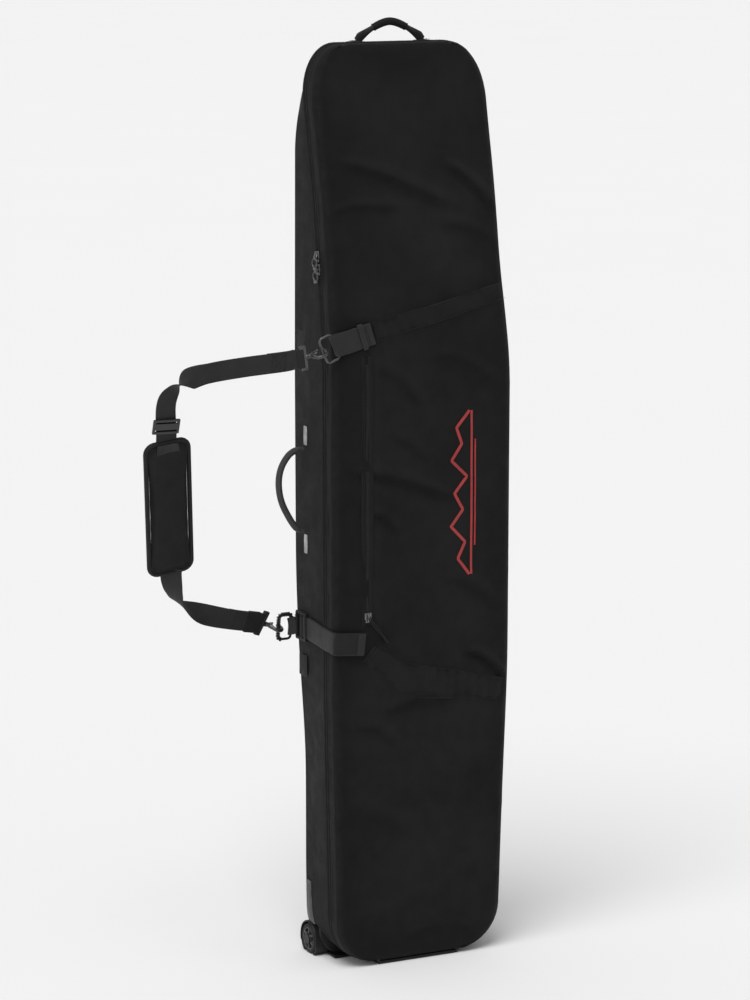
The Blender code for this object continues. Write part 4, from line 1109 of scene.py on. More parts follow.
def make_motif():
    """A plain zigzag ridge and two thin rules beside it, printed up the front panel."""
    soup = Soup()
    left, right, low, high, lift = 0.044, 0.090, 0.692, 0.978, 0.0011
    peaks = (0.0, 0.62, 0.22, 1.0, 0.35, 0.80, 0.12, 0.95, 0.40, 0.70, 0.0)
    ridge = [(right - 0.004 - (right - left - 0.010) * p, low + (high - low) * k / (len(peaks) - 1)) for k, p in enumerate(peaks)]
    rules = [[(right, low), (right, high)], [(right + 0.007, low + 0.05), (right + 0.007, high - 0.05)]]
    for line, stroke in ((ridge, 0.0052), (rules[0], 0.0040), (rules[1], 0.0026)):
        dense = resample(np.array(line), 0.0035)
        x, z = dense[:, 0], dense[:, 1]
        path = np.stack([x, front_y(z) - panel_relief(x, z, np.full_like(x, 0.08)) - lift, z], axis=1)
        along = tangents(path)
        across = np.stack([-along[:, 2], np.zeros(len(x)), along[:, 0]], axis=1)
        half = stroke / 2
        soup.sweep(path, across, [(-half, -0.0009), (half, -0.0009), (half, 0.0002), (half * 0.8, 0.0005),
                                  (-half * 0.8, 0.0005), (-half, 0.0002)])
    soup.piece("printed_motif", PRINT, "lid", "shell_fabric")


# ---- inside, base, housing and wheels -------------------------------------------------------------


def centre_of(node):
    low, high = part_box(node)
    return (Vector(low) + Vector(high)) / 2, Vector(high) - Vector(low)


def make_inside():
    for label in ("upper", "lower"):
        middle, size = centre_of(f"inner_strap_{label}")
        x = np.linspace(-size.x / 2 + 0.001, size.x / 2 - 0.001, 80)
        path = np.stack([middle.x + x, middle.y - 0.0004 * np.cos(x * 20), np.full_like(x, middle.z)], axis=1)
        Soup().sweep(path, vec(0, 0, 1), webbing_profile(WEBBING, 0.0019)).piece(
            f"inner_strap_{label}_webbing", STRAP, "tray", "webbing", (f"inner_strap_{label}",))
        middle, size = centre_of(f"inner_buckle_{label}")
        buckle = Soup()
        for dx, wide, tall in ((-0.0145, 0.029, 0.042), (0.019, 0.020, 0.044)):
            buckle.block((wide, 0.0072, tall), Matrix.Translation(middle + Vector((dx, 0, 0))), 0.0026, 3)
        for dz in (-0.0165, 0.0165):
            buckle.block((0.020, 0.0056, 0.0075), Matrix.Translation(middle + Vector((0.004, 0, dz))), 0.0022, 3)
        buckle.block((0.0065, 0.0084, 0.030), Matrix.Translation(middle + Vector((-0.021, 0, 0))), 0.0018, 3)
        buckle.piece(f"inner_buckle_{label}_clip", PLASTIC, "tray", "moulded_plastic", (f"inner_buckle_{label}",))
        middle, size = centre_of(f"strap_anchor_{label}")
        y = np.linspace(-size.y / 2, size.y / 2, 14)
        path = np.stack([middle.x + 0.0004 - 0.0006 * ease(1 - np.abs(y) / 0.015), middle.y + y, np.full_like(y, middle.z)], axis=1)
        Soup().sweep(path, vec(0, 0, 1), webbing_profile(WEBBING, 0.0018)).piece(
            f"strap_anchor_{label}_webbing", BINDING, "tray", "webbing", (f"strap_anchor_{label}",))
        box_stitch("tray", np.array(middle) + vec(-0.0010, 0, 0), vec(0, 1, 0), vec(0, 0, 1), vec(-1, 0, 0), 0.020, 0.029)
    keep_cad("back_stiffener", BOARD)


def keep_cad(node, finish):
    """A CAD part that stays in view as it is, with its own procedural finish."""
    thing = frame["nodes"][node] if not isinstance(frame["nodes"][node], dict) else bpy.data.objects[node]
    thing = thing if hasattr(thing, "material_slots") else bpy.data.objects[node]
    for slot in thing.material_slots:
        slot.material = finish


def make_base():
    middle, size = centre_of("base_skid")
    skid = Soup().block(size, Matrix.Translation(middle), 0.0018, 3)
    for k in range(-3, 4):
        skid.block((0.0045, size.y * 0.80, 0.0012), Matrix.Translation(middle + Vector((k * 0.018, 0, -size.z / 2 + 0.0001))), 0.0005)
    skid.piece("base_skid_rail", PLASTIC, "tray", "moulded_plastic", ("base_skid",))
    low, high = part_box("wheel_housing")
    low, high = Vector(low), Vector(high)
    keep_cad("wheel_housing", PLASTIC)
    # ribs, a rim and screw heads on the back plate, and a lip over each wheel
    trim = Soup()
    back = high.y
    for k in range(-4, 5):
        trim.block((0.0040, 0.0016, (high.z - 0.030)), Matrix.Translation((BASE_X + k * 0.026, back + 0.0006, 0.012 + (high.z - 0.030) / 2)), 0.0007)
    trim.block((high.x - low.x - 0.060, 0.0022, 0.0050), Matrix.Translation((BASE_X, back + 0.0008, high.z - 0.0060)), 0.0010)
    trim.block((high.x - low.x - 0.012, 0.0022, 0.0050), Matrix.Translation((BASE_X, back + 0.0008, 0.0070)), 0.0010)
    for x in (-0.128, 0.128):
        trim.turned(((0.0, 0.0), (0.0052, 0.0), (0.0046, 0.0022), (0.0018, 0.0026), (0.0, 0.0016)),
                    Matrix.Translation((BASE_X + x, back, high.z - 0.022)) @ Matrix.Rotation(math.radians(90), 4, "Z"), 20)
    trim.piece("housing_ribs", PLASTIC, "tray", "moulded_plastic")
    for side, label in ((-1, "left"), (1, "right")):
        # a thin moulded wing wraps the bag's side above the wheel
        wing = Soup()
        z = np.linspace(0.058, 0.136, 18)
        share = (z - z[0]) / (z[-1] - z[0])
        face = lean(z) + side * (half_width(z) + 0.0016)
        path = np.stack([face, np.full_like(z, 0.057), z], axis=1)
        half = 0.0120 - 0.0045 * ease(share)
        profile = np.array([[(-h, -0.0011), (-h, 0.0006), (-h + 0.002, 0.0013), (h - 0.002, 0.0013), (h, 0.0006), (h, -0.0011)] for h in half])
        wing.sweep(path, vec(0, 1, 0), profile)
        wing.piece(f"housing_wing_{label}", HUB, "tray", "moulded_plastic")
        z = np.linspace(0.0034, 0.0660, 24)
        outer = 0.1535 - 0.034 * np.clip(1 - z / 0.040, 0, 1) ** 1.7
        rim = np.r_[np.stack([outer, z], axis=1), [(0.112, 0.0660), (0.112, 0.0034)]]
        rim = resample(rim, 0.003, closed=True)
        middle = rim.mean(axis=0)
        layers = [(0.0395, 0.90), (0.0360, 1.0), (0.0300, 1.0), (0.0280, 0.95), (0.0274, 0.85)]
        verts = [(BASE_X + side * (middle[0] + (x - middle[0]) * k), y, middle[1] + (h - middle[1]) * k)
                 for y, k in layers for x, h in rim]
        n = len(rim)
        faces = [(a * n + k, a * n + (k + 1) % n, (a + 1) * n + (k + 1) % n, (a + 1) * n + k) for a in range(len(layers) - 1) for k in range(n)]
        faces += [tuple(range(n)), tuple(reversed(range((len(layers) - 1) * n, len(layers) * n)))]
        Soup().add(verts, faces).piece(f"housing_guard_{label}", PLASTIC, "tray", "moulded_plastic")
        ring = [(WHEEL_RADIUS + 0.0046, a) for a in np.linspace(math.radians(-18), math.radians(198), 40)]
        x = BASE_X + side * 0.1585
        arc = np.array([(x, WHEEL_Y + r * math.cos(a), WHEEL_RADIUS + r * math.sin(a)) for r, a in ring])
        Soup().tube(arc, 0.0015, sides=8).piece(f"housing_arch_{label}", PLASTIC, "tray", "moulded_plastic")


def make_wheels():
    for side, label in ((-1, "left"), (1, "right")):
        outer = BASE_X + side * 0.160
        low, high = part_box(f"wheel_tyre_{label}")
        width = high[0] - low[0]
        place = Matrix.Translation(((low[0] + high[0]) / 2, WHEEL_Y, WHEEL_RADIUS)) @ Matrix.Scale(side, 4, (1, 0, 0))
        half, r = width / 2, WHEEL_RADIUS
        rim = r - 0.0062
        tyre = Soup().turned(((rim, half - 0.0008), (rim + 0.0015, half), (r - 0.0026, half - 0.0002), (r - 0.0008, half - 0.0014),
                              (r, half - 0.0034), (r, half * 0.30), (r - 0.0010, half * 0.24), (r - 0.0010, half * 0.12), (r, half * 0.06),
                              (r, -half * 0.06), (r - 0.0010, -half * 0.12), (r - 0.0010, -half * 0.24), (r, -half * 0.30),
                              (r, 0.0034 - half), (r - 0.0008, 0.0014 - half), (r - 0.0026, 0.0002 - half), (rim + 0.0015, -half),
                              (rim, 0.0008 - half)), place, 64)
        for k in range(40):
            angle = 2 * math.pi * k / 40
            lug = place @ Matrix.Rotation(angle, 4, "X") @ Matrix.Translation((half * 0.60, 0, r - 0.0004))
            tyre.block((half * 0.42, 0.0021, 0.0010), lug, 0.0003, 1)
            lug = place @ Matrix.Rotation(angle + math.pi / 40, 4, "X") @ Matrix.Translation((-half * 0.60, 0, r - 0.0004))
            tyre.block((half * 0.42, 0.0021, 0.0010), lug, 0.0003, 1)
        tyre.piece(f"tyre_{label}", RUBBER, f"wheel_{label}", "tyre", (f"wheel_tyre_{label}",))
        hub = Soup().turned(((rim - 0.0021, half - 0.0010), (rim - 0.0006, half - 0.0006), (rim - 0.0006, 0.0010 - half), (rim - 0.0021, 0.0010 - half)), place, 64)
        hub.turned(((0.0046, half - 0.0002), (0.0070, half - 0.0005), (0.0076, half - 0.0022), (0.0076, 0.0012 - half), (0.0046, 0.0012 - half)), place, 40)
        hub.turned(((0.0070, -0.0010), (rim - 0.0015, -0.0010), (rim - 0.0015, -0.0030), (0.0070, -0.0030)), place, 48)
        for k in range(6):
            spoke = place @ Matrix.Rotation(2 * math.pi * k / 6, 4, "X") @ Matrix.Translation((half * 0.28, 0, (0.0072 + rim) / 2))
            hub.block((half * 1.30, 0.0030, rim - 0.0084), spoke, 0.0007)
        hub.piece(f"hub_{label}", HUB, f"wheel_{label}", "moulded_plastic", (f"wheel_hub_{label}",))
        keep_cad(f"axle_{label}", METAL)


# ---- handles ---------------------------------------------------------------------------------------


def make_top_handle():
    x0, y0, reach, rise, radius = 0.0105, 0.0715, 0.064, 0.028, 0.0042
    foot = LENGTH + 0.0026 + 0.0003 * 2 + radius
    # a soft pointed arch: straight webbing legs and a rounded top
    share = np.linspace(-1, 1, 81)
    height = 1 - (np.sqrt(share ** 2 + 0.02) ** 1.5 - 0.02 ** 0.75) / (1.02 ** 0.75 - 0.02 ** 0.75)
    arch = np.stack([x0 + reach * share, np.full_like(share, y0), foot - 0.0030 + (rise + 0.0030) * height], axis=1)
    arch = resample(arch, 0.0022)
    count = len(arch)
    at = np.linspace(0, 1, count)
    near_foot = 1 - ease(np.minimum(at, 1 - at) / 0.30)
    half_wide = 0.0044 - 0.0022 * near_foot
    half_thick = (0.0046 + 0.0042 * near_foot ** 1.3) * (0.6 + 0.4 * ease(np.minimum(at, 1 - at) / 0.07))
    profile = []
    for w, t in zip(half_wide, half_thick):
        profile.append([(t * math.cos(a), w * math.sin(a)) for a in np.arange(16) * 2 * math.pi / 16])
    # the sweep's across direction is square to the arch's plane
    Soup().sweep(arch, vec(0, 1, 0), np.array(profile)[..., ::-1]).piece(
        "top_handle_webbing", STRAP, "top_handle", "webbing", ("top_handle",))
    keep = (at > 0.27) & (at < 0.73)
    grip_path = arch[keep]
    n = len(grip_path)
    swelling = 0.0008 * np.sin(np.linspace(0, math.pi, n)) ** 0.4
    rings = []
    for s in swelling:
        rings.append([((0.0052 + s) * math.cos(a), (0.0060 + s) * math.sin(a)) for a in np.arange(18) * 2 * math.pi / 18])
    Soup().sweep(grip_path, vec(0, 1, 0), np.array(rings)).piece(
        "top_handle_wrap", PADDING, "top_handle", "pad_foam", ("top_handle_grip",))
    for end in (0, -1):
        seam = [grip_path[end] + vec(0, 0.0056 * math.cos(a), 0) + np.cross(tangents(grip_path)[end], vec(0, 1, 0)) * 0.0061 * math.sin(a)
                for a in np.linspace(0, 2 * math.pi, 25)[:-1]]
        Soup().tube(seam, 0.0009, closed=True, sides=8).piece(f"grip_binding_{'left' if end == 0 else 'right'}", BINDING, "top_handle", "pad_foam")
    for side, label in ((-1, "left"), (1, "right")):
        node = f"top_handle_tab_{label}"
        middle, size = centre_of(node)
        x = np.linspace(-size.x / 2, size.x / 2, 14)
        path = np.stack([middle.x + x, np.full_like(x, middle.y), middle.z + 0.0006 * np.cos(x * 160)], axis=1)
        Soup().sweep(path, vec(0, 1, 0), webbing_profile(size.y, 0.0022)).piece(f"{node}_webbing", STRAP, "tray", "webbing", (node,))
        box_stitch("tray", np.array(middle) + vec(0, 0, 0.0021), vec(1, 0, 0), vec(0, 1, 0), vec(0, 0, 1), 0.018, 0.010)


HANDLE = Finish("handle_webbing", (0.046, 0.046, 0.047), 0.58, sheen=0.05, gloss=0.25).ribs(0.0018, 0.0022, 0.35).mottle(
    30.0, 0.10).done(0.0006, 0.8)


def make_haul_handle():
    route = ((0, .9135), (.010, .913), (.027, .9035), (.041, .882), (.0455, .855), (.040, .823), (.023, .790), (.009, .7725), (0, .7695))
    wall, y = float(lean(0.80) - half_width(0.80)) - 0.0072, 0.030
    path = resample(smooth([(wall - out, y, z) for out, z in route], 10), 0.0018)
    at = np.linspace(0, 1, len(path))
    near_end = 1 - ease(np.minimum(at, 1 - at) / 0.10)
    rings = np.array([[((0.0052 + 0.0018 * e) * math.cos(a), (0.0058 - 0.0028 * e) * math.sin(a))
                       for a in np.arange(18) * 2 * math.pi / 18] for e in near_end])
    Soup().sweep(path, vec(0, 1, 0), rings).piece("haul_handle_webbing", HANDLE, "haul_handle", "webbing", ("haul_handle",))
    along = tangents(path)
    out = unit(np.cross(along, vec(0, 1, 0)))
    middle = slice(int(len(path) * 0.13), int(len(path) * 0.87))
    thread("haul_handle").line(path[middle] + vec(0, -0.0050, 0), vec(0, -1, 0))
    thread("haul_handle").line(path[middle] + vec(0, 0.0050, 0), vec(0, 1, 0))
    for label in ("upper", "lower"):
        node = f"haul_anchor_{label}"
        low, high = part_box(node)
        middle, size = centre_of(node)
        anchor = Soup()
        z = np.linspace(-size.z / 2, size.z / 2, 26)
        crown = np.sqrt(np.clip(1 - (np.abs(z) / (size.z / 2)) ** 3, 0.02, 1))
        path = np.stack([np.full_like(z, high[0] - 0.0016), np.full_like(z, middle.y), middle.z + z], axis=1)
        profile = np.array([[(-size.y / 2 * (0.72 + 0.28 * c), 0.0), (-size.y / 2 * (0.70 + 0.28 * c), size.x * 0.55 * c), (-size.y * 0.28, size.x * 0.95 * c),
                             (size.y * 0.28, size.x * 0.95 * c), (size.y / 2 * (0.70 + 0.28 * c), size.x * 0.55 * c), (size.y / 2 * (0.72 + 0.28 * c), 0.0)] for c in crown])
        anchor.sweep(path, vec(0, -1, 0), profile)
        anchor.piece(f"{node}_plate", ANCHOR, "tray", "hardware", (node,))


# ---- rings, hooks and the shoulder strap -------------------------------------------------------------

DOWN = (RING_LOWER - RING_UPPER).normalized()
OUTWARD = (Vector((-1, 0, 0)) - DOWN * DOWN.dot(Vector((-1, 0, 0)))).normalized()
FACING = OUTWARD.cross(DOWN)
FACING = FACING if FACING.y < 0 else -FACING
EYE_AT = {"upper": (0.0585, 0.0205), "lower": (0.0605, 0.5235)}
PAD_WIDTH, PAD_THICK = 0.080, 0.014
PLASTIC_BRIGHT = Finish("polished_plastic", (0.016, 0.016, 0.0165), 0.36, coat=0.10).grain(500, 0.3, 0.05).mottle(
    20.0, 0.12).wear((0.10, 0.10, 0.10), 0.4, 0.64, 0.80).done(0.0001, 0.3, 0.08)
ANCHOR = Finish("anchor_metal", (0.22, 0.22, 0.225), 0.28, metallic=0.8).grain(500, 0.3, 0.05).mottle(
    30.0, 0.12).wear((0.6, 0.6, 0.6), 0.5).done(0.0001, 0.25, 0.08)


def in_plane(out, down):
    return RING_UPPER + OUTWARD * out + DOWN * down


def ring_direction(bar):
    away = Vector((-1, 0, 0))
    return (away - bar * away.dot(bar)).normalized()


def make_ring_tab():
    """The short loop of webbing between the ladder lock and the lower ring's bar."""
    bar, centre = np.array(RING_BAR["lower"]), np.array(RING_LOWER)
    back = vec(-0.1738, 0.0600, 0.5985)
    toward = unit(back - centre)
    side = unit(np.cross(bar, toward))
    points = [back + side * 0.0020, centre + toward * 0.007 + side * 0.0036]
    points += [centre + (toward * math.cos(a) + side * math.sin(a)) * 0.0040 for a in np.linspace(math.radians(70), math.radians(290), 12)]
    points += [centre + toward * 0.007 - side * 0.0030, back - side * 0.0006]
    Soup().sweep(resample(smooth(points, 3), 0.0012), bar, webbing_profile(0.030, 0.0018)).piece(
        "ring_tab_webbing", STRAP, frame_body("strap_ring_lower"), "webbing")


def frame_body(body):
    """The body that a ring's joint hangs from."""
    return next(joint["parent"] for joint in frame["record"]["behaviour"]["joints"] if joint["child"] == body)


def make_ring(label):
    centre, bar = {"upper": RING_UPPER, "lower": RING_LOWER}[label], RING_BAR[label]
    away, corner = ring_direction(bar), 0.006
    points = []
    for (along, out), start in (((RING_HALF, RING_REACH), 0), ((-RING_HALF, RING_REACH), 90),
                                ((-RING_HALF, 0), 180), ((RING_HALF, 0), 270)):
        middle_along = along - math.copysign(corner, along)
        middle_out = out - corner if out > 0 else corner
        for k in range(7):
            angle = math.radians(start + 15 * k)
            points.append(centre + bar * (middle_along + corner * math.cos(angle)) + away * (middle_out + corner * math.sin(angle)))
    path = resample([tuple(p) for p in points], 0.0014, closed=True)
    n = np.array(bar.cross(away))
    turn = np.arange(14) * 2 * math.pi / 14
    ring = np.stack([np.cos(turn), np.sin(turn)], axis=1) * RING_WIRE
    soup = Soup().sweep(path, n, ring, closed=True)
    # wound ribs along the bar's side, where the webbing sits on its sleeve
    for k in range(-4, 5):
        at = centre + bar * (k * 0.0036)
        soup.turned(((RING_WIRE * 0.5, -0.0008), (RING_WIRE + 0.0003, -0.0008), (RING_WIRE + 0.0003, 0.0008), (RING_WIRE * 0.5, 0.0008)),
                    frame_matrix(at, bar, away, bar.cross(away)), 14)
    if label == "lower":
        for k in range(int(len(path) * 0.02), int(len(path) * 0.60), 3):
            ahead = Vector(path[(k + 1) % len(path)] - path[k - 1]).normalized()
            across = bar.cross(away)
            soup.turned(((RING_WIRE * 0.5, -0.0012), (RING_WIRE + 0.0018, -0.0009), (RING_WIRE + 0.0018, 0.0009), (RING_WIRE * 0.5, 0.0012)),
                        frame_matrix(Vector(path[k]), ahead, across, ahead.cross(across)), 14)
    soup.piece(f"ring_{label}", METAL if label == "lower" else RING_METAL, f"strap_ring_{label}", "hardware", (f"strap_ring_{label}",))


STRAP_DARK = Finish("strap_turn", (0.016, 0.016, 0.017), 0.62, sheen=0.03, gloss=0.18).weave(0.0014, 0.25).mottle(
    30.0, 0.10).done(0.0003, 0.6)


def make_hook(label):
    bar, ring_centre = RING_BAR[label], {"upper": RING_UPPER, "lower": RING_LOWER}[label]
    eye = in_plane(*EYE_AT[label])
    target = ring_centre + ring_direction(bar) * RING_REACH
    along = (target - eye).normalized()
    facing = (FACING - along * along.dot(FACING)).normalized()
    origin, across = target - along * EYE_TO_RING, along.cross((FACING - along * along.dot(FACING)).normalized())
    bow_at = EYE_TO_RING - (HOOK_BOW - HOOK_WIRE - RING_WIRE - 0.0006)
    shank = 0.010 / 2 + 0.0062

    def place(forward, side, over=0.0):
        return np.array(origin + along * forward + facing * side + across * over)

    stout = 0.0008
    bow = [(bow_at + (HOOK_BOW + stout) * math.cos(math.radians(a)), (HOOK_BOW + stout) * math.sin(math.radians(a)))
           for a in range(110, -56, -8)]
    flat = smooth([(shank - 0.0008, 0.0, 0), (shank + 0.004, 0.0005, 0), (shank + 0.0075, 0.0065, 0), *[(*p, 0) for p in bow]], 4)
    path = resample([place(p[0], p[1]) for p in flat], 0.0010)
    share = np.linspace(0, 1, len(path))
    radius = (HOOK_WIRE + stout) * (1.0 + 0.25 * hump(share, 0.14, 0.10) + 0.12 * hump(share, 0.62, 0.2) - 0.22 * ease((share - 0.86) / 0.14))
    turn = np.arange(16) * 2 * math.pi / 16
    rings = np.stack([np.cos(turn) * 1.10, np.sin(turn) * 0.94], axis=1)[None] * radius[:, None, None]
    hook = Soup().sweep(path, np.array(across), rings)
    # the turned neck that swivels in the eye's barrel
    swivel = frame_matrix(origin + along * (0.005 + 0.0055), along, facing, across)
    hook.turned(((0.0, -0.0030), (0.0030, -0.0030), (0.0044, -0.0012), (0.0044, 0.0006), (0.0034, 0.0012), (0.0040, 0.0024),
                 (0.0030, 0.0044), (0.0, 0.0046)), swivel, 24)
    hook.piece(f"hook_{label}_claw", RING_METAL, f"hook_{label}", "hardware", (f"hook_{label}",))
    tip = (bow_at + HOOK_BOW * math.cos(math.radians(-80)), HOOK_BOW * math.sin(math.radians(-80)))
    pivot = (shank + 0.0045, -0.0052)
    gate_path = resample([place(*pivot), place((pivot[0] + tip[0]) / 2, (pivot[1] + tip[1]) / 2 - 0.0006), place(*tip)], 0.0012)
    gate = Soup().sweep(gate_path, np.array(across), np.stack([np.cos(turn) * 0.0018, np.sin(turn) * 0.0013], axis=1))
    for s in (-0.0011, 0.0, 0.0011):
        gate.block((0.0008, 0.0028, 0.0040), frame_matrix(Vector(place(pivot[0] + 0.008 + s * 2, pivot[1] - 0.0010)), along, facing, across), 0.0003, 1)
    gate.piece(f"hook_gate_{label}_bar", BRIGHT, f"hook_gate_{label}", "hardware", (f"hook_gate_{label}",))
    # the flat eye that the webbing goes through
    eye_soup = Soup()
    for side in (-1, 1):
        eye_soup.block((0.0108, 0.0052, 0.0058), frame_matrix(origin + across * side * 0.0206, along, facing, across), 0.0014)
    eye_soup.block((0.0052, 0.0052, 0.0460), frame_matrix(origin + along * 0.0032, along, facing, across), 0.0013)
    eye_soup.block((0.0040, 0.0048, 0.0450), frame_matrix(origin - along * 0.0034, along, facing, across), 0.0011)
    eye_soup.turned(((0.0046, -0.0004), (0.0048, 0.0004), (0.0048, 0.0030), (0.0042, 0.0036), (0.0020, 0.0036), (0.0020, -0.0004)),
                    frame_matrix(origin + along * 0.0040, along, facing, across), 24)
    # the webbing's turn through the eye
    turn_in = Soup().block((0.0135, 0.0062, 0.0362), frame_matrix(origin - along * 0.0052, along, facing, across), 0.0022, 3)
    turn_in.piece(f"webbing_turn_{label}", BINDING if label == "lower" else STRAP_DARK, "shoulder_strap", "webbing")
    eye_soup.piece(f"hook_eye_{label}_frame", METAL if label == "lower" else RING_METAL, "shoulder_strap", "hardware", (f"hook_eye_{label}",))
    return origin, along, facing, across


def ribbon(route, twist, width, per_span=10, step=0.0030):
    """A webbing line in the strap's plane whose face turns about its own run: twist in degrees by share."""
    flat = resample(smooth([(*p, 0.0) for p in route], per_span)[:, :2], step)
    run = np.linspace(0, 1, len(flat))
    along2 = tangents(flat)
    path = np.array([in_plane(*p) for p in flat])
    across_flat = np.array([OUTWARD * float(-a[1]) + DOWN * float(a[0]) for a in along2])
    turn = np.radians(np.interp(run, *zip(*twist)))
    turn = np.convolve(np.pad(turn, 2, mode="edge"), np.ones(5) / 5, mode="valid")
    across = across_flat * np.cos(turn)[:, None] + np.array(FACING)[None] * np.sin(turn)[:, None]
    return path, across


def make_strap_webbing():
    eyes = {label: in_plane(*EYE_AT[label]) for label in EYE_AT}
    upper = ((0.0655, 0.0214), (0.0705, 0.0220), (0.090, 0.0255), (0.162, 0.0315), (0.225, 0.0395), (0.264, 0.0500), (0.289, 0.0720),
             (0.2960, 0.0970), (0.2880, 0.1500), (0.2862, 0.1720))
    path, across = ribbon(upper, ((0, 0), (0.50, 3), (0.575, 28), (0.618, 90), (0.658, 148), (0.72, 174), (1, 180)), WEBBING)
    soup = Soup().sweep(path, across, webbing_profile(WEBBING * 0.97, 0.0022))
    # behind the eye the webbing doubles back and is sewn to itself
    fold = path[2:20] + np.array(FACING) * -0.0026
    soup.sweep(fold, across[2:20], webbing_profile(WEBBING * 0.95, 0.0020))
    turn = [path[2] + np.array(OUTWARD) * -0.0026 * math.cos(a) + np.array(FACING) * (-0.0013 + 0.0013 * math.sin(a)) for a in np.linspace(-1.5, 1.5, 7)]
    soup.sweep(np.array(turn), across[2], webbing_profile(WEBBING * 0.95, 0.0018))
    soup.piece("webbing_upper", STRAP, "shoulder_strap", "webbing", ("strap_webbing_upper",))
    along = tangents(path)
    box_stitch("shoulder_strap", path[12] + np.array(FACING) * 0.0014, along[12], across[12], np.array(FACING), 0.024, 0.030)
    lower = ((0.2440, 0.4010), (0.2445, 0.4107), (0.2398, 0.4316), (0.2331, 0.4513), (0.2200, 0.4720), (0.1797, 0.4938),
             (0.120, 0.5115), (0.0705, 0.5215), (0.0660, 0.5222))
    path, across = ribbon(lower, ((0, 22), (0.12, 35), (0.24, 62), (0.345, 90), (0.46, 126), (0.60, 160), (0.78, 176), (1, 180)), WEBBING)
    soup = Soup().sweep(path, across, webbing_profile(WEBBING * 0.97, 0.0022))
    fold = path[-22:-2] + np.array(FACING) * -0.0026
    soup.sweep(fold, across[-22:-2], webbing_profile(WEBBING * 0.95, 0.0020))
    soup.piece("webbing_lower", STRAP, "shoulder_strap", "webbing", ("strap_webbing_lower",))
    along = tangents(path)
    box_stitch("shoulder_strap", path[-13] + np.array(FACING) * 0.0014, along[-13], across[-13], np.array(FACING), 0.024, 0.030)
    # the dark sewn end wrap at the lower hook
    wrap_path, wrap_across = path[-9:-1], across[-9:-1]
    Soup().sweep(wrap_path, wrap_across, webbing_profile(WEBBING * 1.06, 0.0075)).piece("webbing_end_wrap", BINDING, "shoulder_strap", "webbing")


def make_glide():
    low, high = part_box("tri_glide")
    middle = (Vector(low) + Vector(high)) / 2
    wide, tall, thick = 0.048, 0.026, 0.0045
    glide = Soup()
    for side in (-1, 1):
        glide.block((0.0048, thick, tall), frame_matrix(middle + OUTWARD * side * (wide / 2 - 0.0024), OUTWARD, FACING, -DOWN), 0.0016)
    for at, tall_bar, thick_bar in ((-0.0108, 0.0046, thick), (0.0, 0.0120, thick * 0.8), (0.0108, 0.0046, thick)):
        glide.block((wide - 0.004, thick_bar, tall_bar), frame_matrix(middle + DOWN * at, OUTWARD, FACING, -DOWN), 0.0014)
    glide.piece("glide_frame", PLASTIC_BRIGHT, "tri_glide", "moulded_plastic", ("tri_glide",))


def pad_outline(half_wide, half_tall, corner, per_corner=10):
    points = []
    for sx, sz, start in ((1, 1, 0), (-1, 1, 90), (-1, -1, 180), (1, -1, 270)):
        for k in range(per_corner):
            angle = math.radians(start + 90 * k / (per_corner - 1))
            points.append((sx * (half_wide - corner) + corner * math.cos(angle), sz * (half_tall - corner) + corner * math.sin(angle)))
    return resample(points, 0.005, closed=True)


def pad_body(half_wide, half_tall, thick):
    """The pad's start shape: rounded corners and sides that thin towards the seam."""
    corner = 0.016
    bm = bmesh.new()
    rim = pad_outline(half_wide, half_tall, corner)
    rings = []
    for scale, height in ((1.0, 0.0), (0.985, 0.45), (0.94, 0.75), (0.84, 0.95), (0.62, 1.0), (0.30, 1.0)):
        for side in (-1, 1):
            if height == 0.0 and side == 1:
                continue
            rings.append((side * height, [(x * (1 - (1 - scale) * 1.0) if True else x, z + 0 * x - (z - 0) * (1 - scale) * half_wide / half_tall)
                                          for x, z in rim]))
    rings.sort(key=lambda item: item[0])
    # rings sorted by depth: narrow at the back face, full at the seam, narrow at the front face
    order = [r for r in rings if r[0] < 0]
    order.sort(key=lambda item: (item[0], max(p[0] for p in item[1])))
    front = [r for r in rings if r[0] > 0]
    front.sort(key=lambda item: (item[0], -max(p[0] for p in item[1])))
    ordered = order + [r for r in rings if r[0] == 0] + front
    loops = []
    for depth, ring in ordered:
        loops.append([bm.verts.new((x, depth * thick / 2, z)) for x, z in ring])
    for a, b in zip(loops, loops[1:]):
        for k in range(len(a)):
            bm.faces.new((a[k], a[(k + 1) % len(a)], b[(k + 1) % len(a)], b[k]))
    bm.faces.new(loops[0])
    bm.faces.new(list(reversed(loops[-1])))
    bmesh.ops.recalc_face_normals(bm, faces=bm.faces)
    return bm


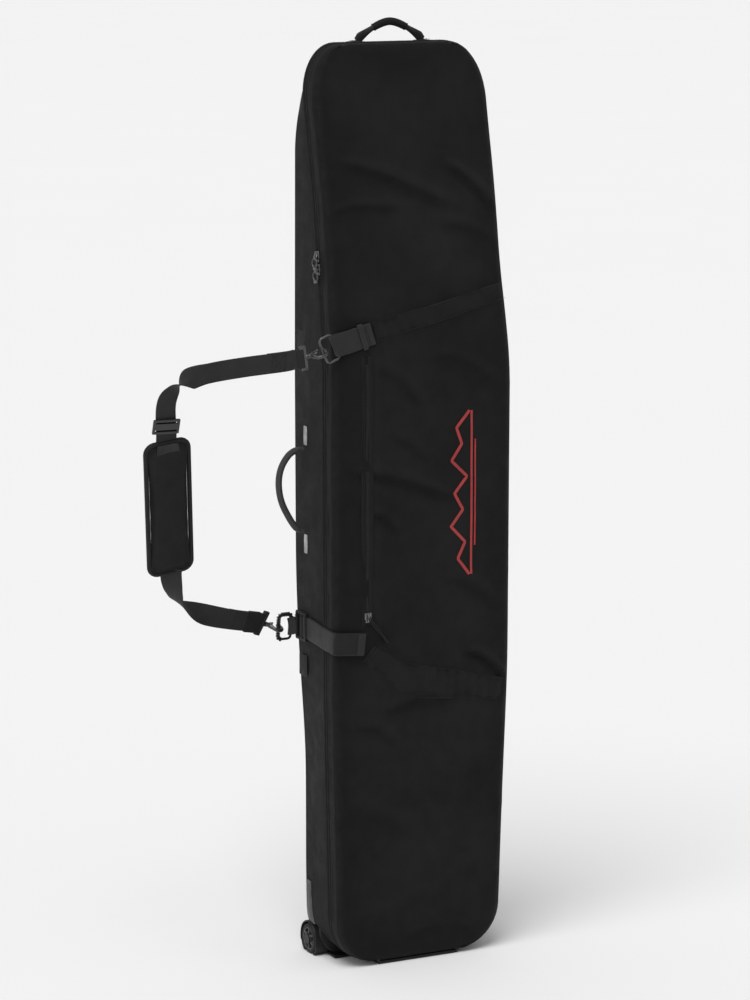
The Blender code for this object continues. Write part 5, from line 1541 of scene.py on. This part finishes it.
def swell(made, pressure, cap, frames=20):
    """Remeshes a pad, blows it up a little as cloth, and caps how far any point may go."""
    remesh = made.modifiers.new("even", "REMESH")
    remesh.mode, remesh.voxel_size = "VOXEL", 0.004
    bpy.context.view_layer.update()
    apply_modifiers(made)
    start = np.array([v.co[:] for v in made.data.vertices])
    cloth = made.modifiers.new("cloth", "CLOTH")
    settings = cloth.settings
    settings.quality, settings.mass = 6, 0.2
    settings.tension_stiffness = settings.compression_stiffness = 25
    settings.shear_stiffness, settings.bending_stiffness = 8, 0.6
    settings.use_pressure, settings.uniform_pressure_force = True, pressure
    settings.effector_weights.gravity = 0
    cloth.collision_settings.use_self_collision = False
    cloth.point_cache.frame_start, cloth.point_cache.frame_end = 1, frames
    scene = bpy.context.scene
    for number in range(1, frames + 1):
        scene.frame_set(number)
    graph = bpy.context.evaluated_depsgraph_get()
    moved = bpy.data.meshes.new_from_object(made.evaluated_get(graph))
    end = np.array([v.co[:] for v in moved.vertices])
    made.modifiers.clear()
    shift = end - start
    length = np.linalg.norm(shift, axis=1, keepdims=True)
    shift *= np.minimum(1.0, cap / np.maximum(length, 1e-9))
    made.data = moved
    made.data.vertices.foreach_set("co", (start + shift).astype(np.float32).ravel())
    scene.frame_set(1)


def make_pad():
    top, low = in_plane(0.2860, 0.1613), in_plane(0.2450, 0.4100)
    down = (low - top).normalized()
    place = frame_matrix((top + low) / 2, down.cross(FACING), FACING, -down)
    half_wide, half_tall = PAD_WIDTH / 2 - 0.0016, (low - top).length / 2 - 0.0016
    bm = pad_body(half_wide + 0.0006, half_tall + 0.0006, PAD_THICK * 0.72)
    mesh = bpy.data.meshes.new("shoulder_pad_cloth")
    bm.to_mesh(mesh)
    bm.free()
    made = dress("shoulder_pad_cloth", mesh, PADDING, "shoulder_strap", ("shoulder_pad",), shade=False)
    swell(made, 3.0, 0.004)
    mesh = made.data
    points = np.array([v.co[:] for v in mesh.vertices])
    # sewn in after the swelling: a channel round the inner panel and the flat bound edge
    panel_x, panel_z = half_wide - 0.0085, half_tall - 0.0100
    dx, dz = np.abs(points[:, 0]) - panel_x, np.abs(points[:, 2]) - panel_z
    outside = np.sqrt(np.maximum(dx, 0) ** 2 + np.maximum(dz, 0) ** 2)
    inside = np.minimum(np.maximum(dx, dz), 0)
    line = outside + inside
    groove = 0.0030 * np.exp(-(line / 0.0024) ** 2)
    crown = 1 + 0.10 * ease(-line / 0.02)
    points[:, 1] = (points[:, 1] - np.sign(points[:, 1]) * np.minimum(groove, np.abs(points[:, 1]) * 0.7)) * crown
    points[:, 1] += 0.0005 * bumpy(points, 45.0, 12.0)
    points = points @ np.array(place.to_3x3()).T + np.array(place.translation)
    mesh.vertices.foreach_set("co", points.astype(np.float32).ravel())
    mesh.materials.clear()
    mesh.materials.append(PADDING)
    mesh.update()
    mesh.shade_smooth()
    finer = made.modifiers.new("finer", "SUBSURF")
    finer.levels = finer.render_levels = 1

    def on_pad(flat, lift):
        flat = np.asarray(flat, float)
        local = np.stack([flat[:, 0], np.full(len(flat), lift), flat[:, 1]], axis=1)
        return local @ np.array(place.to_3x3()).T + np.array(place.translation)

    # FACING is the pad's local +Y, towards the viewer
    rim = on_pad(pad_outline(half_wide, half_tall, 0.0160), 0.0)
    profile = np.array([(0.0050 * math.cos(a), 0.0040 * math.sin(a)) for a in np.arange(12) * 2 * math.pi / 12])
    Soup().sweep(rim, np.array(FACING), profile, closed=True).piece("pad_binding", BINDING, "shoulder_strap", "pad_foam")
    face = PAD_THICK * 0.36
    stitches = pad_outline(half_wide - 0.0050, half_tall - 0.0050, 0.0130)
    thread("shoulder_strap").line(on_pad(stitches, face * 0.72), np.array(FACING))
    panel = pad_outline(panel_x, panel_z, 0.0080)
    thread("shoulder_strap").line(on_pad(panel, face * 0.86), np.array(FACING))
    # the trapezoid tab where the webbing enters the pad's top
    tab = [(-0.0180, half_tall - 0.001), (0.0180, half_tall - 0.001), (0.0225, half_tall - 0.030), (-0.0225, half_tall - 0.030)]
    soup = Soup()
    front = [on_pad(np.array(tab), face * s + o) for s, o in ((0.6, 0.0), (0.92, 0.0030))]
    verts = np.concatenate(front)
    faces = [(3, 2, 1, 0), (4, 5, 6, 7), (0, 1, 5, 4), (1, 2, 6, 5), (2, 3, 7, 6), (3, 0, 4, 7)]
    lay = np.array([(x, z, 0) for x, z in tab] * 2)
    soup.add(verts, faces, lay)
    soup.piece("pad_tab", STRAP, "shoulder_strap", "webbing", shade=False)
    edge = [tab[0], tab[3], tab[2], tab[1]]
    thread("shoulder_strap").line(on_pad(np.array(edge) * 0.93 + vec(0, 0.005), face * 0.92 + 0.0031), np.array(FACING))


# ---- putting it together --------------------------------------------------------------------------------


def main():
    make_camera()
    make_studio()
    make_shells()
    make_main_zipper()
    make_upper_strap()
    make_lower_strap()
    make_pocket()
    make_sliders()
    make_motif()
    make_inside()
    make_base()
    make_wheels()
    make_top_handle()
    make_haul_handle()
    for label in ("upper", "lower"):
        make_ring(label)
        make_hook(label)
    make_ring_tab()
    make_strap_webbing()
    make_glide()
    make_pad()
    for body, stitches in THREADS.items():
        stitches.piece(f"stitching_{body}", body)


main()
